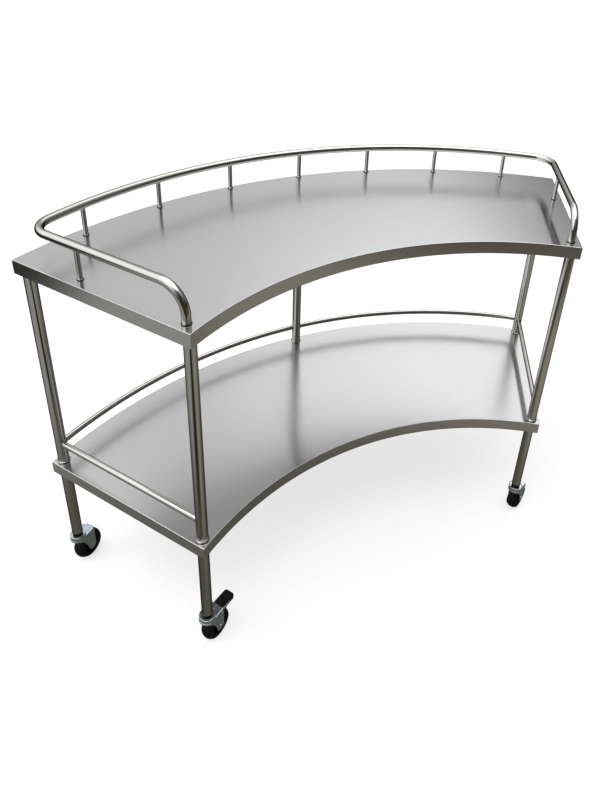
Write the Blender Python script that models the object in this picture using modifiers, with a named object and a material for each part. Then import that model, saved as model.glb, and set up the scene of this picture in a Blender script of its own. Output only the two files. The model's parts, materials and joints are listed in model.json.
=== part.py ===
"""Curved two-shelf instrument trolley of stainless steel tube and folded sheet, on five swivel castors.

Seen from above, both shelves are the same piece of a ring: the hollow side faces the user, at -Y.
Lengths are in metres and +Z is up. The floor is at z = 0, and x = 0 is the plane of symmetry.
The plan is worked out round the centre of the hollow side's arc, then moved so that the middle of
the plan lies at the origin.
"""

import math

import bmesh
import bpy
from mathutils import Matrix, Vector

# Shelves
TOP_SHELF_HEIGHT = 0.900
LOWER_SHELF_HEIGHT = 0.352
FRONT_RADIUS = 0.765
REAR_RADIUS = 1.156
FRONT_HALF_SPAN = 0.464
REAR_HALF_SPAN = 0.720
SIDE_DEPTH = 0.3862
SHEET = 0.0012
SKIRT_DEPTH = 0.032
FOLD_RADIUS = 0.002
HEM_FOLD = 0.003
HEM_HEIGHT = 0.008
REAR_ARC_STEPS = 24
FRONT_ARC_STEPS = 16

# Tubes and rods
LEG_RADIUS = 0.0125
LEG_WALL = 0.0012
POST_INSET = 0.0195
FOOT_RING_WIDTH = 0.002
FOOT_RING_HEIGHT = 0.003
RAIL_RADIUS = 0.009
RAIL_HEIGHT = 0.072
RAIL_ARC_RADIUS = 1.022
RAIL_REAR_INSET = 0.012
RAIL_SIDE_INSET = 0.023
RAIL_FOOT_RUN = 0.029
RAIL_CORNER_BEND = 0.055
RAIL_FOOT_BEND = 0.055
RAIL_RING_WIDTH = 0.0025
RAIL_RING_HEIGHT = 0.003
BALUSTER_RADIUS = 0.005
BALUSTER_FLANGE_RADIUS = 0.0072
BALUSTER_FLANGE_HEIGHT = 0.0018
BALUSTER_PITCH = math.radians(11.35)
BALUSTERS_EACH_SIDE_OF_MIDDLE = 3
SIDE_BALUSTER_RUN = 0.295
ROD_RADIUS = 0.007
ROD_HEIGHT = 0.054

# Castor wheel and fork. Heights are built up from the floor: wheel, gap, fork plate, swivel head, leg.
WHEEL_RADIUS = 0.0375
WHEEL_TRAIL = 0.024
TYRE_WIDTH = 0.029
TYRE_CROWN = 0.0056
TYRE_CROWN_POWER = 2.2
TYRE_SIDE_GAP = 0.0013
TYRE_TOP_GAP = 0.0098
HUB_RADIUS = 0.026
HUB_WEB = 0.008
HUB_BOSS_RADIUS = 0.010
HUB_RIM = 0.004
FORK_SHEET = 0.0022
FORK_BEND = 0.0035
FORK_BOSS_RADIUS = 0.0112
FORK_NOSE_BULGE = 0.0017
FORK_NOSE_DEPTH = 0.0042
FORK_NOSE_ROUNDING = 0.0015
FORK_ARCH_RUN = 0.0028
TONGUE_LENGTH = 0.005
TONGUE_HALF_WIDTH = 0.0100
TONGUE_SHEET = 0.0018
AXLE_RADIUS = 0.004
AXLE_HEAD_RADIUS = 0.0065
AXLE_HEAD_FLAT = 0.0038
AXLE_HEAD_HEIGHT = 0.0020
AXLE_HEAD_EDGE = 0.0008
AXLE_NUT_RADIUS = 0.0072
AXLE_NUT_HEIGHT = 0.004
AXLE_END = 0.001

# Swivel head: the fork's ring, the stem with its raceway, and the plug that holds the stem in the leg
HEAD_HEIGHT = 0.020
RING_RADIUS = 0.0190
RING_WALL = 0.0075
RING_HEIGHT = 0.011
RING_BEAD = 0.0012
RACE_HEIGHT = 0.002
STEM_RADIUS = 0.005
STEM_REACH = 0.034
STEM_NECK_RADIUS = 0.0078
STEM_NUT_ACROSS_CORNERS = 0.0196
STEM_NUT_HEIGHT = 0.0085
KING_PIN_RADIUS = 0.004
KING_PIN_HEAD_RADIUS = 0.0065
KING_PIN_HEAD_HEIGHT = 0.0022
PLUG_FLANGE_HEIGHT = 0.003
PLUG_LENGTH = 0.030

# Brake. The lever and its pad are drawn level, and rest with the pad's end tilted down.
PIN_RUN = 0.030
PIN_RADIUS = 0.002
PIN_HEAD_RADIUS = 0.0032
PIN_HEAD_HEIGHT = 0.0012
PIN_TYRE_GAP = 0.0006
LEVER_HALF_WIDTH = 0.0144
LEVER_SHEET = 0.0015
LEVER_BEND = 0.002
LEVER_FRONT = 0.024
LEVER_REAR = 0.064
LEVER_ROOF_GAP = 0.0005
LEVER_DEPTH = 0.0078
LEVER_END_DEPTH = 0.0045
LEVER_KNEE = 0.0064
LEVER_TILT = math.radians(6.0)
BRAKE_TRAVEL = math.radians(12.0)
SHOE_RADIUS = 0.004
SHOE_HALF_WIDTH = 0.008
SHOE_ANGLE = math.radians(60.0)
PAD_FRONT = 0.0357
PAD_REAR = 0.0804
PAD_HALF_WIDTH = 0.0137
PAD_THICKNESS = 0.0048
PAD_DROP = 0.007
PAD_CORNER = 0.006
PAD_EDGE = 0.0015

# Clearances
SEAT_GAP = 0.0003
RUNNING_GAP = 0.0005
CUTTER_EXTRA = 0.010

ROUND_STEPS = 16
SMALL_ROUND_STEPS = 12
HALF_ARC_STEPS = 11
BEND_STEPS = 5
CROWN_STEPS = 3
WHEEL_STEPS = 20
SHARP_ANGLE = math.radians(35.0)

# Each castor: name, the leg it stands under, the way its wheel trails, and whether it has a brake
CASTORS = [
    ("fl", "front_left", math.radians(33.0), True),
    ("fr", "front_right", math.radians(24.0), False),
    ("rl", "rear_left", math.radians(39.0), False),
    ("rr", "rear_right", math.radians(118.0), True),
    ("rm", "rear_middle", math.radians(-14.0), False),
]

# Sizes that follow from those above
REAR_CENTRE_SHIFT = (
    math.sqrt(FRONT_RADIUS**2 - FRONT_HALF_SPAN**2)
    + SIDE_DEPTH
    - math.sqrt(REAR_RADIUS**2 - REAR_HALF_SPAN**2)
)
FORK_GAP = TYRE_WIDTH + 2 * TYRE_SIDE_GAP
FORK_HALF_WIDTH = FORK_GAP / 2 + FORK_SHEET
FORK_TOP = 2 * WHEEL_RADIUS + TYRE_TOP_GAP + FORK_SHEET
FORK_REAR = WHEEL_TRAIL + FORK_BOSS_RADIUS
FORK_NOSE_RADIUS = FORK_HALF_WIDTH + FORK_NOSE_BULGE
LEG_END_HEIGHT = FORK_TOP + HEAD_HEIGHT
PIN_HEIGHT = WHEEL_RADIUS + math.sqrt(
    (WHEEL_RADIUS + PIN_TYRE_GAP + PIN_RADIUS) ** 2 - (PIN_RUN - WHEEL_TRAIL) ** 2
)
LEVER_TOP = PIN_HEIGHT + PIN_RADIUS + LEVER_ROOF_GAP + LEVER_SHEET


def clear_scene():
    for obj in list(bpy.data.objects):
        bpy.data.objects.remove(obj, do_unlink=True)


def new_collection(name):
    found = bpy.data.collections.new(name)
    bpy.context.scene.collection.children.link(found)
    return found


def new_material(name, colour, roughness, metallic):
    material = bpy.data.materials.new(name)
    material.use_nodes = True
    shader = material.node_tree.nodes["Principled BSDF"]
    shader.inputs["Base Color"].default_value = (*colour, 1.0)
    shader.inputs["Roughness"].default_value = roughness
    shader.inputs["Metallic"].default_value = metallic
    return material


clear_scene()
PARTS = new_collection("instrument_trolley")
CUTTERS = new_collection("cutters")
CUTTERS.hide_render = True

BRUSHED_STEEL = new_material("brushed_stainless_sheet", (0.55, 0.56, 0.57), 0.34, 1.0)
TUBE_STEEL = new_material("polished_stainless_tube", (0.50, 0.50, 0.48), 0.22, 1.0)
ZINC = new_material("zinc_plated_steel", (0.62, 0.66, 0.68), 0.28, 1.0)
DARK_STEEL = new_material("dark_oiled_steel", (0.070, 0.070, 0.072), 0.30, 1.0)
DARK_PLASTIC = new_material("black_plastic", (0.020, 0.020, 0.021), 0.45, 0.0)
RUBBER = new_material("black_rubber", (0.012, 0.012, 0.012), 0.62, 0.0)


# Plan of the shelves


def side_line():
    """A point on the right side of a shelf, the way along it to the rear, and the way out of it."""
    front = Vector((FRONT_HALF_SPAN, math.sqrt(FRONT_RADIUS**2 - FRONT_HALF_SPAN**2)))
    rear_y = REAR_CENTRE_SHIFT + math.sqrt(REAR_RADIUS**2 - REAR_HALF_SPAN**2)
    along = (Vector((REAR_HALF_SPAN, rear_y)) - front).normalized()
    return front, along, Vector((along.y, -along.x))


def side_point(inset, run):
    """The point that lies this far inside the right side and this far behind the front corner."""
    front, along, outward = side_line()
    return front - outward * inset + along * run


def side_meets_arc(inset, centre_y, radius):
    """Where the right side, moved in by the inset, meets a circle whose centre is on the middle line."""
    start = side_point(inset, 0.0) - Vector((0.0, centre_y))
    along = side_line()[1]
    middle = start.dot(along)
    run = -middle + math.sqrt(middle**2 - start.length_squared + radius**2)
    return start + along * run + Vector((0.0, centre_y))


def arc(centre_y, radius, start, end, steps):
    """Points on a circle whose centre is on the middle line, by the angle from +Y towards +X."""
    angles = [start + (end - start) * step / steps for step in range(steps + 1)]
    return [Vector((radius * math.sin(a), centre_y + radius * math.cos(a))) for a in angles]


def arc_half_angle(point, centre_y):
    return math.atan2(point.x, point.y - centre_y)


def shelf_outline(inset):
    """The outline of a shelf, moved in by the inset: the front arc to the left, then the rear arc back."""
    front_radius = FRONT_RADIUS + inset
    rear_radius = REAR_RADIUS - inset
    front = arc_half_angle(side_meets_arc(inset, 0.0, front_radius), 0.0)
    rear_corner = side_meets_arc(inset, REAR_CENTRE_SHIFT, rear_radius)
    rear = arc_half_angle(rear_corner, REAR_CENTRE_SHIFT)
    front_points = arc(0.0, front_radius, front, -front, FRONT_ARC_STEPS)
    return front_points + arc(REAR_CENTRE_SHIFT, rear_radius, -rear, rear, REAR_ARC_STEPS)


FRONT_CORNER_Y = side_point(0.0, 0.0).y
REAR_EDGE_Y = REAR_CENTRE_SHIFT + REAR_RADIUS
PLAN_MIDDLE = Vector((0.0, (FRONT_CORNER_Y + REAR_EDGE_Y) / 2))
RAIL_CENTRE_Y = REAR_EDGE_Y - RAIL_REAR_INSET - RAIL_ARC_RADIUS
POST_ARC_RADIUS = REAR_RADIUS - POST_INSET


def post_places():
    """Each leg's place in the plan."""
    front = side_meets_arc(POST_INSET, 0.0, FRONT_RADIUS + POST_INSET)
    rear = side_meets_arc(POST_INSET, REAR_CENTRE_SHIFT, POST_ARC_RADIUS)
    return {
        "front_right": front,
        "front_left": Vector((-front.x, front.y)),
        "rear_right": rear,
        "rear_left": Vector((-rear.x, rear.y)),
        "rear_middle": Vector((0.0, REAR_CENTRE_SHIFT + POST_ARC_RADIUS)),
    }


def in_world(plan_point, height=0.0):
    return Vector((plan_point.x, plan_point.y, height)) - PLAN_MIDDLE.to_3d()


# Building blocks


def finished(mesh, material):
    """Shades a mesh smooth between its sharp edges and gives it one material."""
    mesh.shade_smooth()
    mesh.set_sharp_from_angle(angle=SHARP_ANGLE)
    mesh.materials.clear()
    mesh.materials.append(material)
    return mesh


def helper(name, data):
    obj = bpy.data.objects.new(name, data)
    obj.display_type = "WIRE"
    obj.hide_render = True
    CUTTERS.objects.link(obj)
    return obj


def applied(obj):
    """The mesh that the object's modifiers or curve settings make. The object itself is removed."""
    bpy.context.view_layer.update()
    graph = bpy.context.evaluated_depsgraph_get()
    mesh = bpy.data.meshes.new_from_object(obj.evaluated_get(graph))
    mesh.name = obj.name
    bm = bmesh.new()
    bm.from_mesh(mesh)
    bmesh.ops.remove_doubles(bm, verts=bm.verts, dist=1e-6)
    bm.to_mesh(mesh)
    bm.free()
    mesh.transform(obj.matrix_world)
    bpy.data.objects.remove(obj, do_unlink=True)
    return mesh


def place(name, mesh, location=(0.0, 0.0, 0.0), rotation=(0.0, 0.0, 0.0), parent=None):
    obj = bpy.data.objects.new(name, mesh)
    obj.location = location
    obj.rotation_euler = rotation
    obj.parent = parent
    PARTS.objects.link(obj)
    return obj


def pivot(name, location, rotation=(0.0, 0.0, 0.0), parent=None):
    empty = bpy.data.objects.new(name, None)
    empty.location = location
    empty.rotation_euler = rotation
    empty.parent = parent
    empty.empty_display_size = 0.02
    PARTS.objects.link(empty)
    return empty


def turned(name, profile, steps, closed=False):
    """A mesh turned about Z from (radius, height) points that run down its outer side."""
    mesh = bpy.data.meshes.new(name)
    edges = [(i, i + 1) for i in range(len(profile) - 1)]
    if closed:
        edges.append((len(profile) - 1, 0))
    mesh.from_pydata([(radius, 0.0, height) for radius, height in profile], edges, [])
    obj = helper(name, mesh)
    screw = obj.modifiers.new("Turn", "SCREW")
    screw.steps = steps
    screw.render_steps = steps
    screw.use_merge_vertices = True
    screw.merge_threshold = 0.00001
    return applied(obj)


def tube(name, points, radius, resolution=3):
    """A round bar along the points, with flat ends."""
    curve = bpy.data.curves.new(name, "CURVE")
    curve.dimensions = "3D"
    spline = curve.splines.new("POLY")
    spline.points.add(len(points) - 1)
    for target, point in zip(spline.points, points):
        target.co = (*point, 1.0)
    curve.bevel_depth = radius
    curve.bevel_resolution = resolution
    curve.use_fill_caps = True
    return applied(helper(name, curve))


def plate(name, outline, thickness):
    """A flat plate in the XY plane, with half its thickness on each side of it."""
    curve = bpy.data.curves.new(name, "CURVE")
    curve.dimensions = "2D"
    curve.fill_mode = "BOTH"
    curve.extrude = thickness / 2
    spline = curve.splines.new("POLY")
    spline.points.add(len(outline) - 1)
    for target, point in zip(spline.points, outline):
        target.co = (point[0], point[1], 0.0, 1.0)
    spline.use_cyclic_u = True
    return applied(helper(name, curve))


def side_plate(name, outline, width):
    """A plate whose outline is drawn in X and Z, with half its width on each side of y = 0."""
    mesh = plate(name, outline, width)
    mesh.transform(Matrix.Rotation(math.pi / 2, 4, "X"))
    return mesh


def cylinder(name, radius, start, end, steps=ROUND_STEPS):
    """A solid cylinder from one point to another."""
    start = Vector(start)
    end = Vector(end)
    bm = bmesh.new()
    bmesh.ops.create_cone(
        bm,
        cap_ends=True,
        segments=steps,
        radius1=radius,
        radius2=radius,
        depth=(end - start).length,
    )
    turn = (end - start).to_track_quat("Z", "Y").to_matrix().to_4x4()
    bmesh.ops.transform(bm, matrix=Matrix.Translation((start + end) / 2) @ turn, verts=bm.verts)
    mesh = bpy.data.meshes.new(name)
    bm.to_mesh(mesh)
    bm.free()
    return mesh


def box(name, low, high):
    low = Vector(low)
    high = Vector(high)
    bm = bmesh.new()
    bmesh.ops.create_cube(bm, size=1.0)
    bmesh.ops.scale(bm, vec=high - low, verts=bm.verts)
    bmesh.ops.translate(bm, vec=(low + high) / 2, verts=bm.verts)
    mesh = bpy.data.meshes.new(name)
    bm.to_mesh(mesh)
    bm.free()
    return mesh


def combined(name, mesh, steps):
    """The mesh after a list of (operation, other mesh) Booleans."""
    obj = helper(name, mesh)
    others = []
    for number, (operation, other) in enumerate(steps, 1):
        modifier = obj.modifiers.new(f"Boolean {number}", "BOOLEAN")
        modifier.operation = operation
        modifier.object = helper(f"{name}_tool_{number}", other)
        others.append(modifier.object)
    result = applied(obj)
    for other in others:
        bpy.data.objects.remove(other, do_unlink=True)
    return result


# Shelves


def tray(name):
    """A folded tray with its top at z = 0: top sheet, skirt all round, and a hem turned up inside."""
    rows = [
        (0.0, 0.0),
        (0.0, -SKIRT_DEPTH),
        (HEM_FOLD, -SKIRT_DEPTH),
        (HEM_FOLD, HEM_HEIGHT - SKIRT_DEPTH),
    ]
    bm = bmesh.new()
    weight = bm.edges.layers.float.new("bevel_weight_edge")
    ring = [bm.verts.new((*point, 0.0)) for point in shelf_outline(0.0)]
    top = bm.faces.new(ring)
    top.normal_update()
    if top.normal.z < 0:
        top.normal_flip()
    edges = list(top.edges)
    for edge in edges:
        edge[weight] = 1.0
    for inset, height in rows[1:]:
        step = bmesh.ops.extrude_edge_only(bm, edges=edges)
        edges = [item for item in step["geom"] if isinstance(item, bmesh.types.BMEdge)]
        added = {item for item in step["geom"] if isinstance(item, bmesh.types.BMVert)}
        ring = [
            next(end for edge in vert.link_edges if (end := edge.other_vert(vert)) in added)
            for vert in ring
        ]
        for vert, target in zip(ring, shelf_outline(inset)):
            vert.co = (target.x, target.y, height)
    bmesh.ops.recalc_face_normals(bm, faces=bm.faces)
    top.normal_update()
    if top.normal.z < 0:
        bmesh.ops.reverse_faces(bm, faces=bm.faces)
    mesh = bpy.data.meshes.new(name)
    bm.to_mesh(mesh)
    bm.free()
    obj = helper(name, mesh)
    fold = obj.modifiers.new("Fold radius", "BEVEL")
    fold.limit_method = "WEIGHT"
    fold.width = FOLD_RADIUS
    fold.segments = 2
    sheet = obj.modifiers.new("Sheet", "SOLIDIFY")
    sheet.thickness = SHEET
    sheet.offset = -1.0
    sheet.use_even_offset = True
    return applied(obj)


def build_shelves():
    top = finished(tray("top_shelf"), BRUSHED_STEEL)
    place("top_shelf", top, in_world(Vector((0.0, 0.0)), TOP_SHELF_HEIGHT))
    holes = [
        ("DIFFERENCE", cylinder(
            f"post_hole_{name}",
            LEG_RADIUS + SEAT_GAP,
            (*point, -CUTTER_EXTRA),
            (*point, CUTTER_EXTRA),
        ))
        for name, point in post_places().items()
    ]
    lower = finished(combined("lower_shelf", tray("lower_shelf"), holes), BRUSHED_STEEL)
    place("lower_shelf", lower, in_world(Vector((0.0, 0.0)), LOWER_SHELF_HEIGHT))


# Legs, rail and rods


def leg_mesh():
    """A leg with the polished weld ring at its foot on the lower shelf; z = 0 is the floor."""
    top = TOP_SHELF_HEIGHT - SHEET - SEAT_GAP
    ring_foot = LOWER_SHELF_HEIGHT + SEAT_GAP
    ring_top = ring_foot + FOOT_RING_HEIGHT
    inner = LEG_RADIUS - LEG_WALL
    profile = [
        (LEG_RADIUS, top),
        (LEG_RADIUS, ring_top),
        (LEG_RADIUS + FOOT_RING_WIDTH, ring_foot + FOOT_RING_HEIGHT / 3),
        (LEG_RADIUS + FOOT_RING_WIDTH, ring_foot),
        (LEG_RADIUS, ring_foot),
        (LEG_RADIUS, LEG_END_HEIGHT),
        (inner, LEG_END_HEIGHT),
        (inner, top),
    ]
    return finished(turned("leg", profile, ROUND_STEPS, closed=True), TUBE_STEEL)


def fillet_centre():
    """The centre of the rail's rear right bend, which touches its side run and its rear arc."""
    return side_meets_arc(
        RAIL_SIDE_INSET + RAIL_CORNER_BEND, RAIL_CENTRE_Y, RAIL_ARC_RADIUS - RAIL_CORNER_BEND
    )


def half_rail_path():
    """The rail's centre line from the middle of the rear to its right foot, from the shelf up."""
    front, along, outward = side_line()
    centre = fillet_centre()
    from_arc = arc_half_angle(centre, RAIL_CENTRE_Y)
    side_angle = math.atan2(outward.x, outward.y)
    path = [(*p, RAIL_HEIGHT) for p in arc(RAIL_CENTRE_Y, RAIL_ARC_RADIUS, 0.0, from_arc, HALF_ARC_STEPS)]
    for step in range(1, BEND_STEPS + 1):
        angle = from_arc + (side_angle - from_arc) * step / BEND_STEPS
        offset = Vector((math.sin(angle), math.cos(angle))) * RAIL_CORNER_BEND
        path.append((*(centre + offset), RAIL_HEIGHT))
    for step in range(BEND_STEPS + 1):
        angle = math.pi / 2 * step / BEND_STEPS
        run = RAIL_FOOT_RUN + RAIL_FOOT_BEND * (1.0 - math.sin(angle))
        height = RAIL_HEIGHT - RAIL_FOOT_BEND * (1.0 - math.cos(angle))
        path.append((*side_point(RAIL_SIDE_INSET, run), height))
    path.append((*side_point(RAIL_SIDE_INSET, RAIL_FOOT_RUN), SEAT_GAP))
    return path


def build_rail():
    right = half_rail_path()
    left = [(-x, y, z) for x, y, z in reversed(right[1:])]
    rail = finished(tube("top_rail", left + right, RAIL_RADIUS, resolution=4), TUBE_STEEL)
    place("top_rail", rail, in_world(Vector((0.0, 0.0)), TOP_SHELF_HEIGHT))
    inner = RAIL_RADIUS + SEAT_GAP
    outer = RAIL_RADIUS + RAIL_RING_WIDTH
    profile = [
        (inner + RAIL_RING_WIDTH / 4, SEAT_GAP + RAIL_RING_HEIGHT),
        (outer, SEAT_GAP + RAIL_RING_HEIGHT / 2),
        (outer, SEAT_GAP),
        (inner, SEAT_GAP),
        (inner, SEAT_GAP + RAIL_RING_HEIGHT),
    ]
    ring = finished(turned("rail_foot_ring", profile, ROUND_STEPS, closed=True), TUBE_STEEL)
    foot = side_point(RAIL_SIDE_INSET, RAIL_FOOT_RUN)
    place("rail_foot_ring_right", ring, in_world(foot, TOP_SHELF_HEIGHT))
    place("rail_foot_ring_left", ring, in_world(Vector((-foot.x, foot.y)), TOP_SHELF_HEIGHT))


def baluster_mesh():
    """A short rod with a flange at its foot; its top is coped to sit under the rail, which runs along X."""
    profile = [
        (0.0, RAIL_HEIGHT),
        (BALUSTER_RADIUS, RAIL_HEIGHT),
        (BALUSTER_RADIUS, SEAT_GAP + BALUSTER_FLANGE_HEIGHT),
        (BALUSTER_FLANGE_RADIUS, SEAT_GAP + BALUSTER_FLANGE_HEIGHT / 2),
        (BALUSTER_FLANGE_RADIUS, SEAT_GAP),
        (0.0, SEAT_GAP),
    ]
    reach = BALUSTER_RADIUS + CUTTER_EXTRA
    cope = cylinder(
        "rail_cope", RAIL_RADIUS + SEAT_GAP, (-reach, 0.0, RAIL_HEIGHT), (reach, 0.0, RAIL_HEIGHT)
    )
    top = box("top_cut", (-reach, -reach, RAIL_HEIGHT), (reach, reach, RAIL_HEIGHT + CUTTER_EXTRA))
    rod = turned("baluster", profile, SMALL_ROUND_STEPS)
    return finished(combined("baluster", rod, [("DIFFERENCE", cope), ("DIFFERENCE", top)]), TUBE_STEEL)


def build_balusters():
    """One on each side run and seven along the rear, numbered from the left."""
    mesh = baluster_mesh()
    along = side_line()[1]
    side = side_point(RAIL_SIDE_INSET, SIDE_BALUSTER_RUN)
    side_turn = math.atan2(along.y, along.x)
    places = [(Vector((-side.x, side.y)), -side_turn)]
    count = BALUSTERS_EACH_SIDE_OF_MIDDLE
    for number in range(-count, count + 1):
        angle = number * BALUSTER_PITCH
        point = arc(RAIL_CENTRE_Y, RAIL_ARC_RADIUS, angle, angle, 1)[0]
        places.append((point, -angle))
    places.append((side, side_turn))
    for number, (point, turn) in enumerate(places, 1):
        place(f"baluster_{number}", mesh, in_world(point, TOP_SHELF_HEIGHT), (0.0, 0.0, turn))


def coped_rod(name, points, ends):
    """A rod whose two ends are shaped to the legs that it meets."""
    cuts = [
        ("DIFFERENCE", cylinder(
            f"{name}_cope",
            LEG_RADIUS + SEAT_GAP,
            (*end, -ROD_RADIUS - CUTTER_EXTRA),
            (*end, ROD_RADIUS + CUTTER_EXTRA),
        ))
        for end in ends
    ]
    return finished(combined(name, tube(name, points, ROD_RADIUS), cuts), TUBE_STEEL)


def build_rods():
    posts = post_places()
    height = LOWER_SHELF_HEIGHT + ROD_HEIGHT
    origin = in_world(Vector((0.0, 0.0)), height)
    for side, sign in (("left", -1.0), ("right", 1.0)):
        front = posts[f"front_{side}"]
        rear = posts[f"rear_{side}"]
        rod = coped_rod(f"side_rod_{side}", [(*front, 0.0), (*rear, 0.0)], [front, rear])
        place(f"side_rod_{side}", rod, origin)
        half_angle = arc_half_angle(posts["rear_right"], REAR_CENTRE_SHIFT)
        points = arc(REAR_CENTRE_SHIFT, POST_ARC_RADIUS, 0.0, sign * half_angle, HALF_ARC_STEPS)
        curved = coped_rod(
            f"rear_rod_{side}", [(*p, 0.0) for p in points], [posts["rear_middle"], rear]
        )
        place(f"rear_rod_{side}", curved, origin)


# Castors. Each is drawn with its swivel axis at x = y = 0, the floor at z = 0 and its wheel towards +X.


def plug_mesh():
    """The plastic plug in a leg's end, with a flange under the tube and a hole for the stem."""
    top = LEG_END_HEIGHT - SEAT_GAP
    plug = LEG_RADIUS - LEG_WALL - SEAT_GAP
    bore = STEM_RADIUS + SEAT_GAP
    profile = [
        (plug, top + PLUG_LENGTH),
        (plug, top),
        (LEG_RADIUS, top),
        (LEG_RADIUS, top - PLUG_FLANGE_HEIGHT),
        (bore, top - PLUG_FLANGE_HEIGHT),
        (bore, top + PLUG_LENGTH),
    ]
    return finished(turned("leg_plug", profile, ROUND_STEPS, closed=True), DARK_PLASTIC)


def stem_mesh():
    """The threaded stem with its nut, the fixed raceway and the rivet that holds the fork."""
    nut_top = LEG_END_HEIGHT - SEAT_GAP - PLUG_FLANGE_HEIGHT - SEAT_GAP
    nut_foot = nut_top - STEM_NUT_HEIGHT
    nut_middle = (nut_top + nut_foot) / 2
    race_radius = RING_RADIUS - RING_WALL - RUNNING_GAP
    race_foot = FORK_TOP + SEAT_GAP
    head_top = FORK_TOP - FORK_SHEET - SEAT_GAP
    profile = [
        (0.0, nut_top + STEM_REACH),
        (STEM_RADIUS, nut_top + STEM_REACH),
        (STEM_RADIUS, nut_middle),
        (STEM_NECK_RADIUS, nut_middle),
        (STEM_NECK_RADIUS, race_foot + RACE_HEIGHT),
        (race_radius, race_foot + RACE_HEIGHT / 2),
        (race_radius, race_foot),
        (KING_PIN_RADIUS, race_foot),
        (KING_PIN_RADIUS, head_top),
        (KING_PIN_HEAD_RADIUS, head_top),
        (KING_PIN_HEAD_RADIUS, head_top - KING_PIN_HEAD_HEIGHT / 2),
        (KING_PIN_RADIUS, head_top - KING_PIN_HEAD_HEIGHT),
        (0.0, head_top - KING_PIN_HEAD_HEIGHT),
    ]
    hexagon = cylinder(
        "stem_nut",
        STEM_NUT_ACROSS_CORNERS / 2,
        (0.0, 0.0, nut_foot),
        (0.0, 0.0, nut_top),
        steps=6,
    )
    stem = turned("castor_stem", profile, SMALL_ROUND_STEPS)
    return finished(combined("castor_stem", stem, [("UNION", hexagon)]), DARK_STEEL)


def channel(name, half_width, sheet, bend, top, foot, start, end):
    """An upside-down channel along X: two walls joined by a flat top with round bends."""
    bm = bmesh.new()
    weight = bm.edges.layers.float.new("bevel_weight_edge")
    section = [(half_width, foot), (half_width, top), (-half_width, top), (-half_width, foot)]
    verts = [bm.verts.new((start, y, z)) for y, z in section]
    edges = [bm.edges.new(pair) for pair in zip(verts, verts[1:])]
    step = bmesh.ops.extrude_edge_only(bm, edges=edges)
    moved = [item for item in step["geom"] if isinstance(item, bmesh.types.BMVert)]
    bmesh.ops.translate(bm, vec=(end - start, 0.0, 0.0), verts=moved)
    bm.normal_update()
    crown = next(face for face in bm.faces if abs(face.normal.z) > 0.5)
    if crown.normal.z < 0:
        bmesh.ops.reverse_faces(bm, faces=bm.faces)
    for edge in bm.edges:
        if all(abs(vert.co.z - top) < SEAT_GAP for vert in edge.verts):
            if abs(edge.verts[0].co.x - edge.verts[1].co.x) > SEAT_GAP:
                edge[weight] = 1.0
    mesh = bpy.data.meshes.new(name)
    bm.to_mesh(mesh)
    bm.free()
    obj = helper(name, mesh)
    fold = obj.modifiers.new("Bend", "BEVEL")
    fold.limit_method = "WEIGHT"
    fold.width = bend
    fold.segments = 2
    solid = obj.modifiers.new("Sheet", "SOLIDIFY")
    solid.thickness = sheet
    solid.offset = -1.0
    solid.use_even_offset = True
    return applied(obj)


def tangent_angle(point, centre, radius, side):
    """The angle on a circle at which a line from an outside point touches it, on the chosen side."""
    away = point - centre
    return math.atan2(away.y, away.x) + side * math.acos(radius / away.length)


def fork_outline():
    """The side of the fork in X and Z: flat top, upright rear edge, round end and an arched front edge."""
    axle = Vector((WHEEL_TRAIL, WHEEL_RADIUS))
    over = FORK_TOP + FORK_SHEET
    nose = Vector((-FORK_NOSE_RADIUS, FORK_TOP - FORK_NOSE_DEPTH))
    arch = Vector((FORK_ARCH_RUN, nose.y))
    front_angle = tangent_angle(arch, axle, FORK_BOSS_RADIUS, 1.0) - math.tau
    points = [Vector((-FORK_NOSE_RADIUS, over)), Vector((FORK_REAR, over))]
    for step in range(BEND_STEPS + 1):
        angle = front_angle * step / BEND_STEPS
        points.append(axle + FORK_BOSS_RADIUS * Vector((math.cos(angle), math.sin(angle))))
    start = points[-1]
    for step in range(1, BEND_STEPS + 1):
        t = step / BEND_STEPS
        points.append(start * (1 - t) ** 2 + arch * 2 * t * (1 - t) + nose * t**2)
    return points


def ring_profile():
    """The swivel ring on the fork: a flat top with a raised bead round its rim."""
    outer = RING_RADIUS
    inner = RING_RADIUS - RING_WALL
    foot = FORK_TOP - FORK_SHEET / 2
    top = FORK_TOP + RING_HEIGHT
    flat = top - RING_BEAD
    return [
        (outer - RING_BEAD, top),
        (outer, top - RING_BEAD),
        (outer, foot),
        (inner, foot),
        (inner, flat - RING_BEAD / 2),
        (inner + RING_BEAD / 2, flat),
        (outer - 2 * RING_BEAD, flat),
    ]


def fork_front():
    """The fork in plan: round in front, up to the middle of the nose's wall, and open-ended behind."""
    radius = FORK_NOSE_RADIUS - SEAT_GAP
    points = []
    for step in range(ROUND_STEPS // 2 + 1):
        angle = math.pi / 2 + math.pi * step / (ROUND_STEPS // 2)
        points.append(radius * Vector((math.cos(angle), math.sin(angle))))
    rear = FORK_REAR + CUTTER_EXTRA
    return points + [Vector((rear, -radius)), Vector((rear, radius))]


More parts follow.
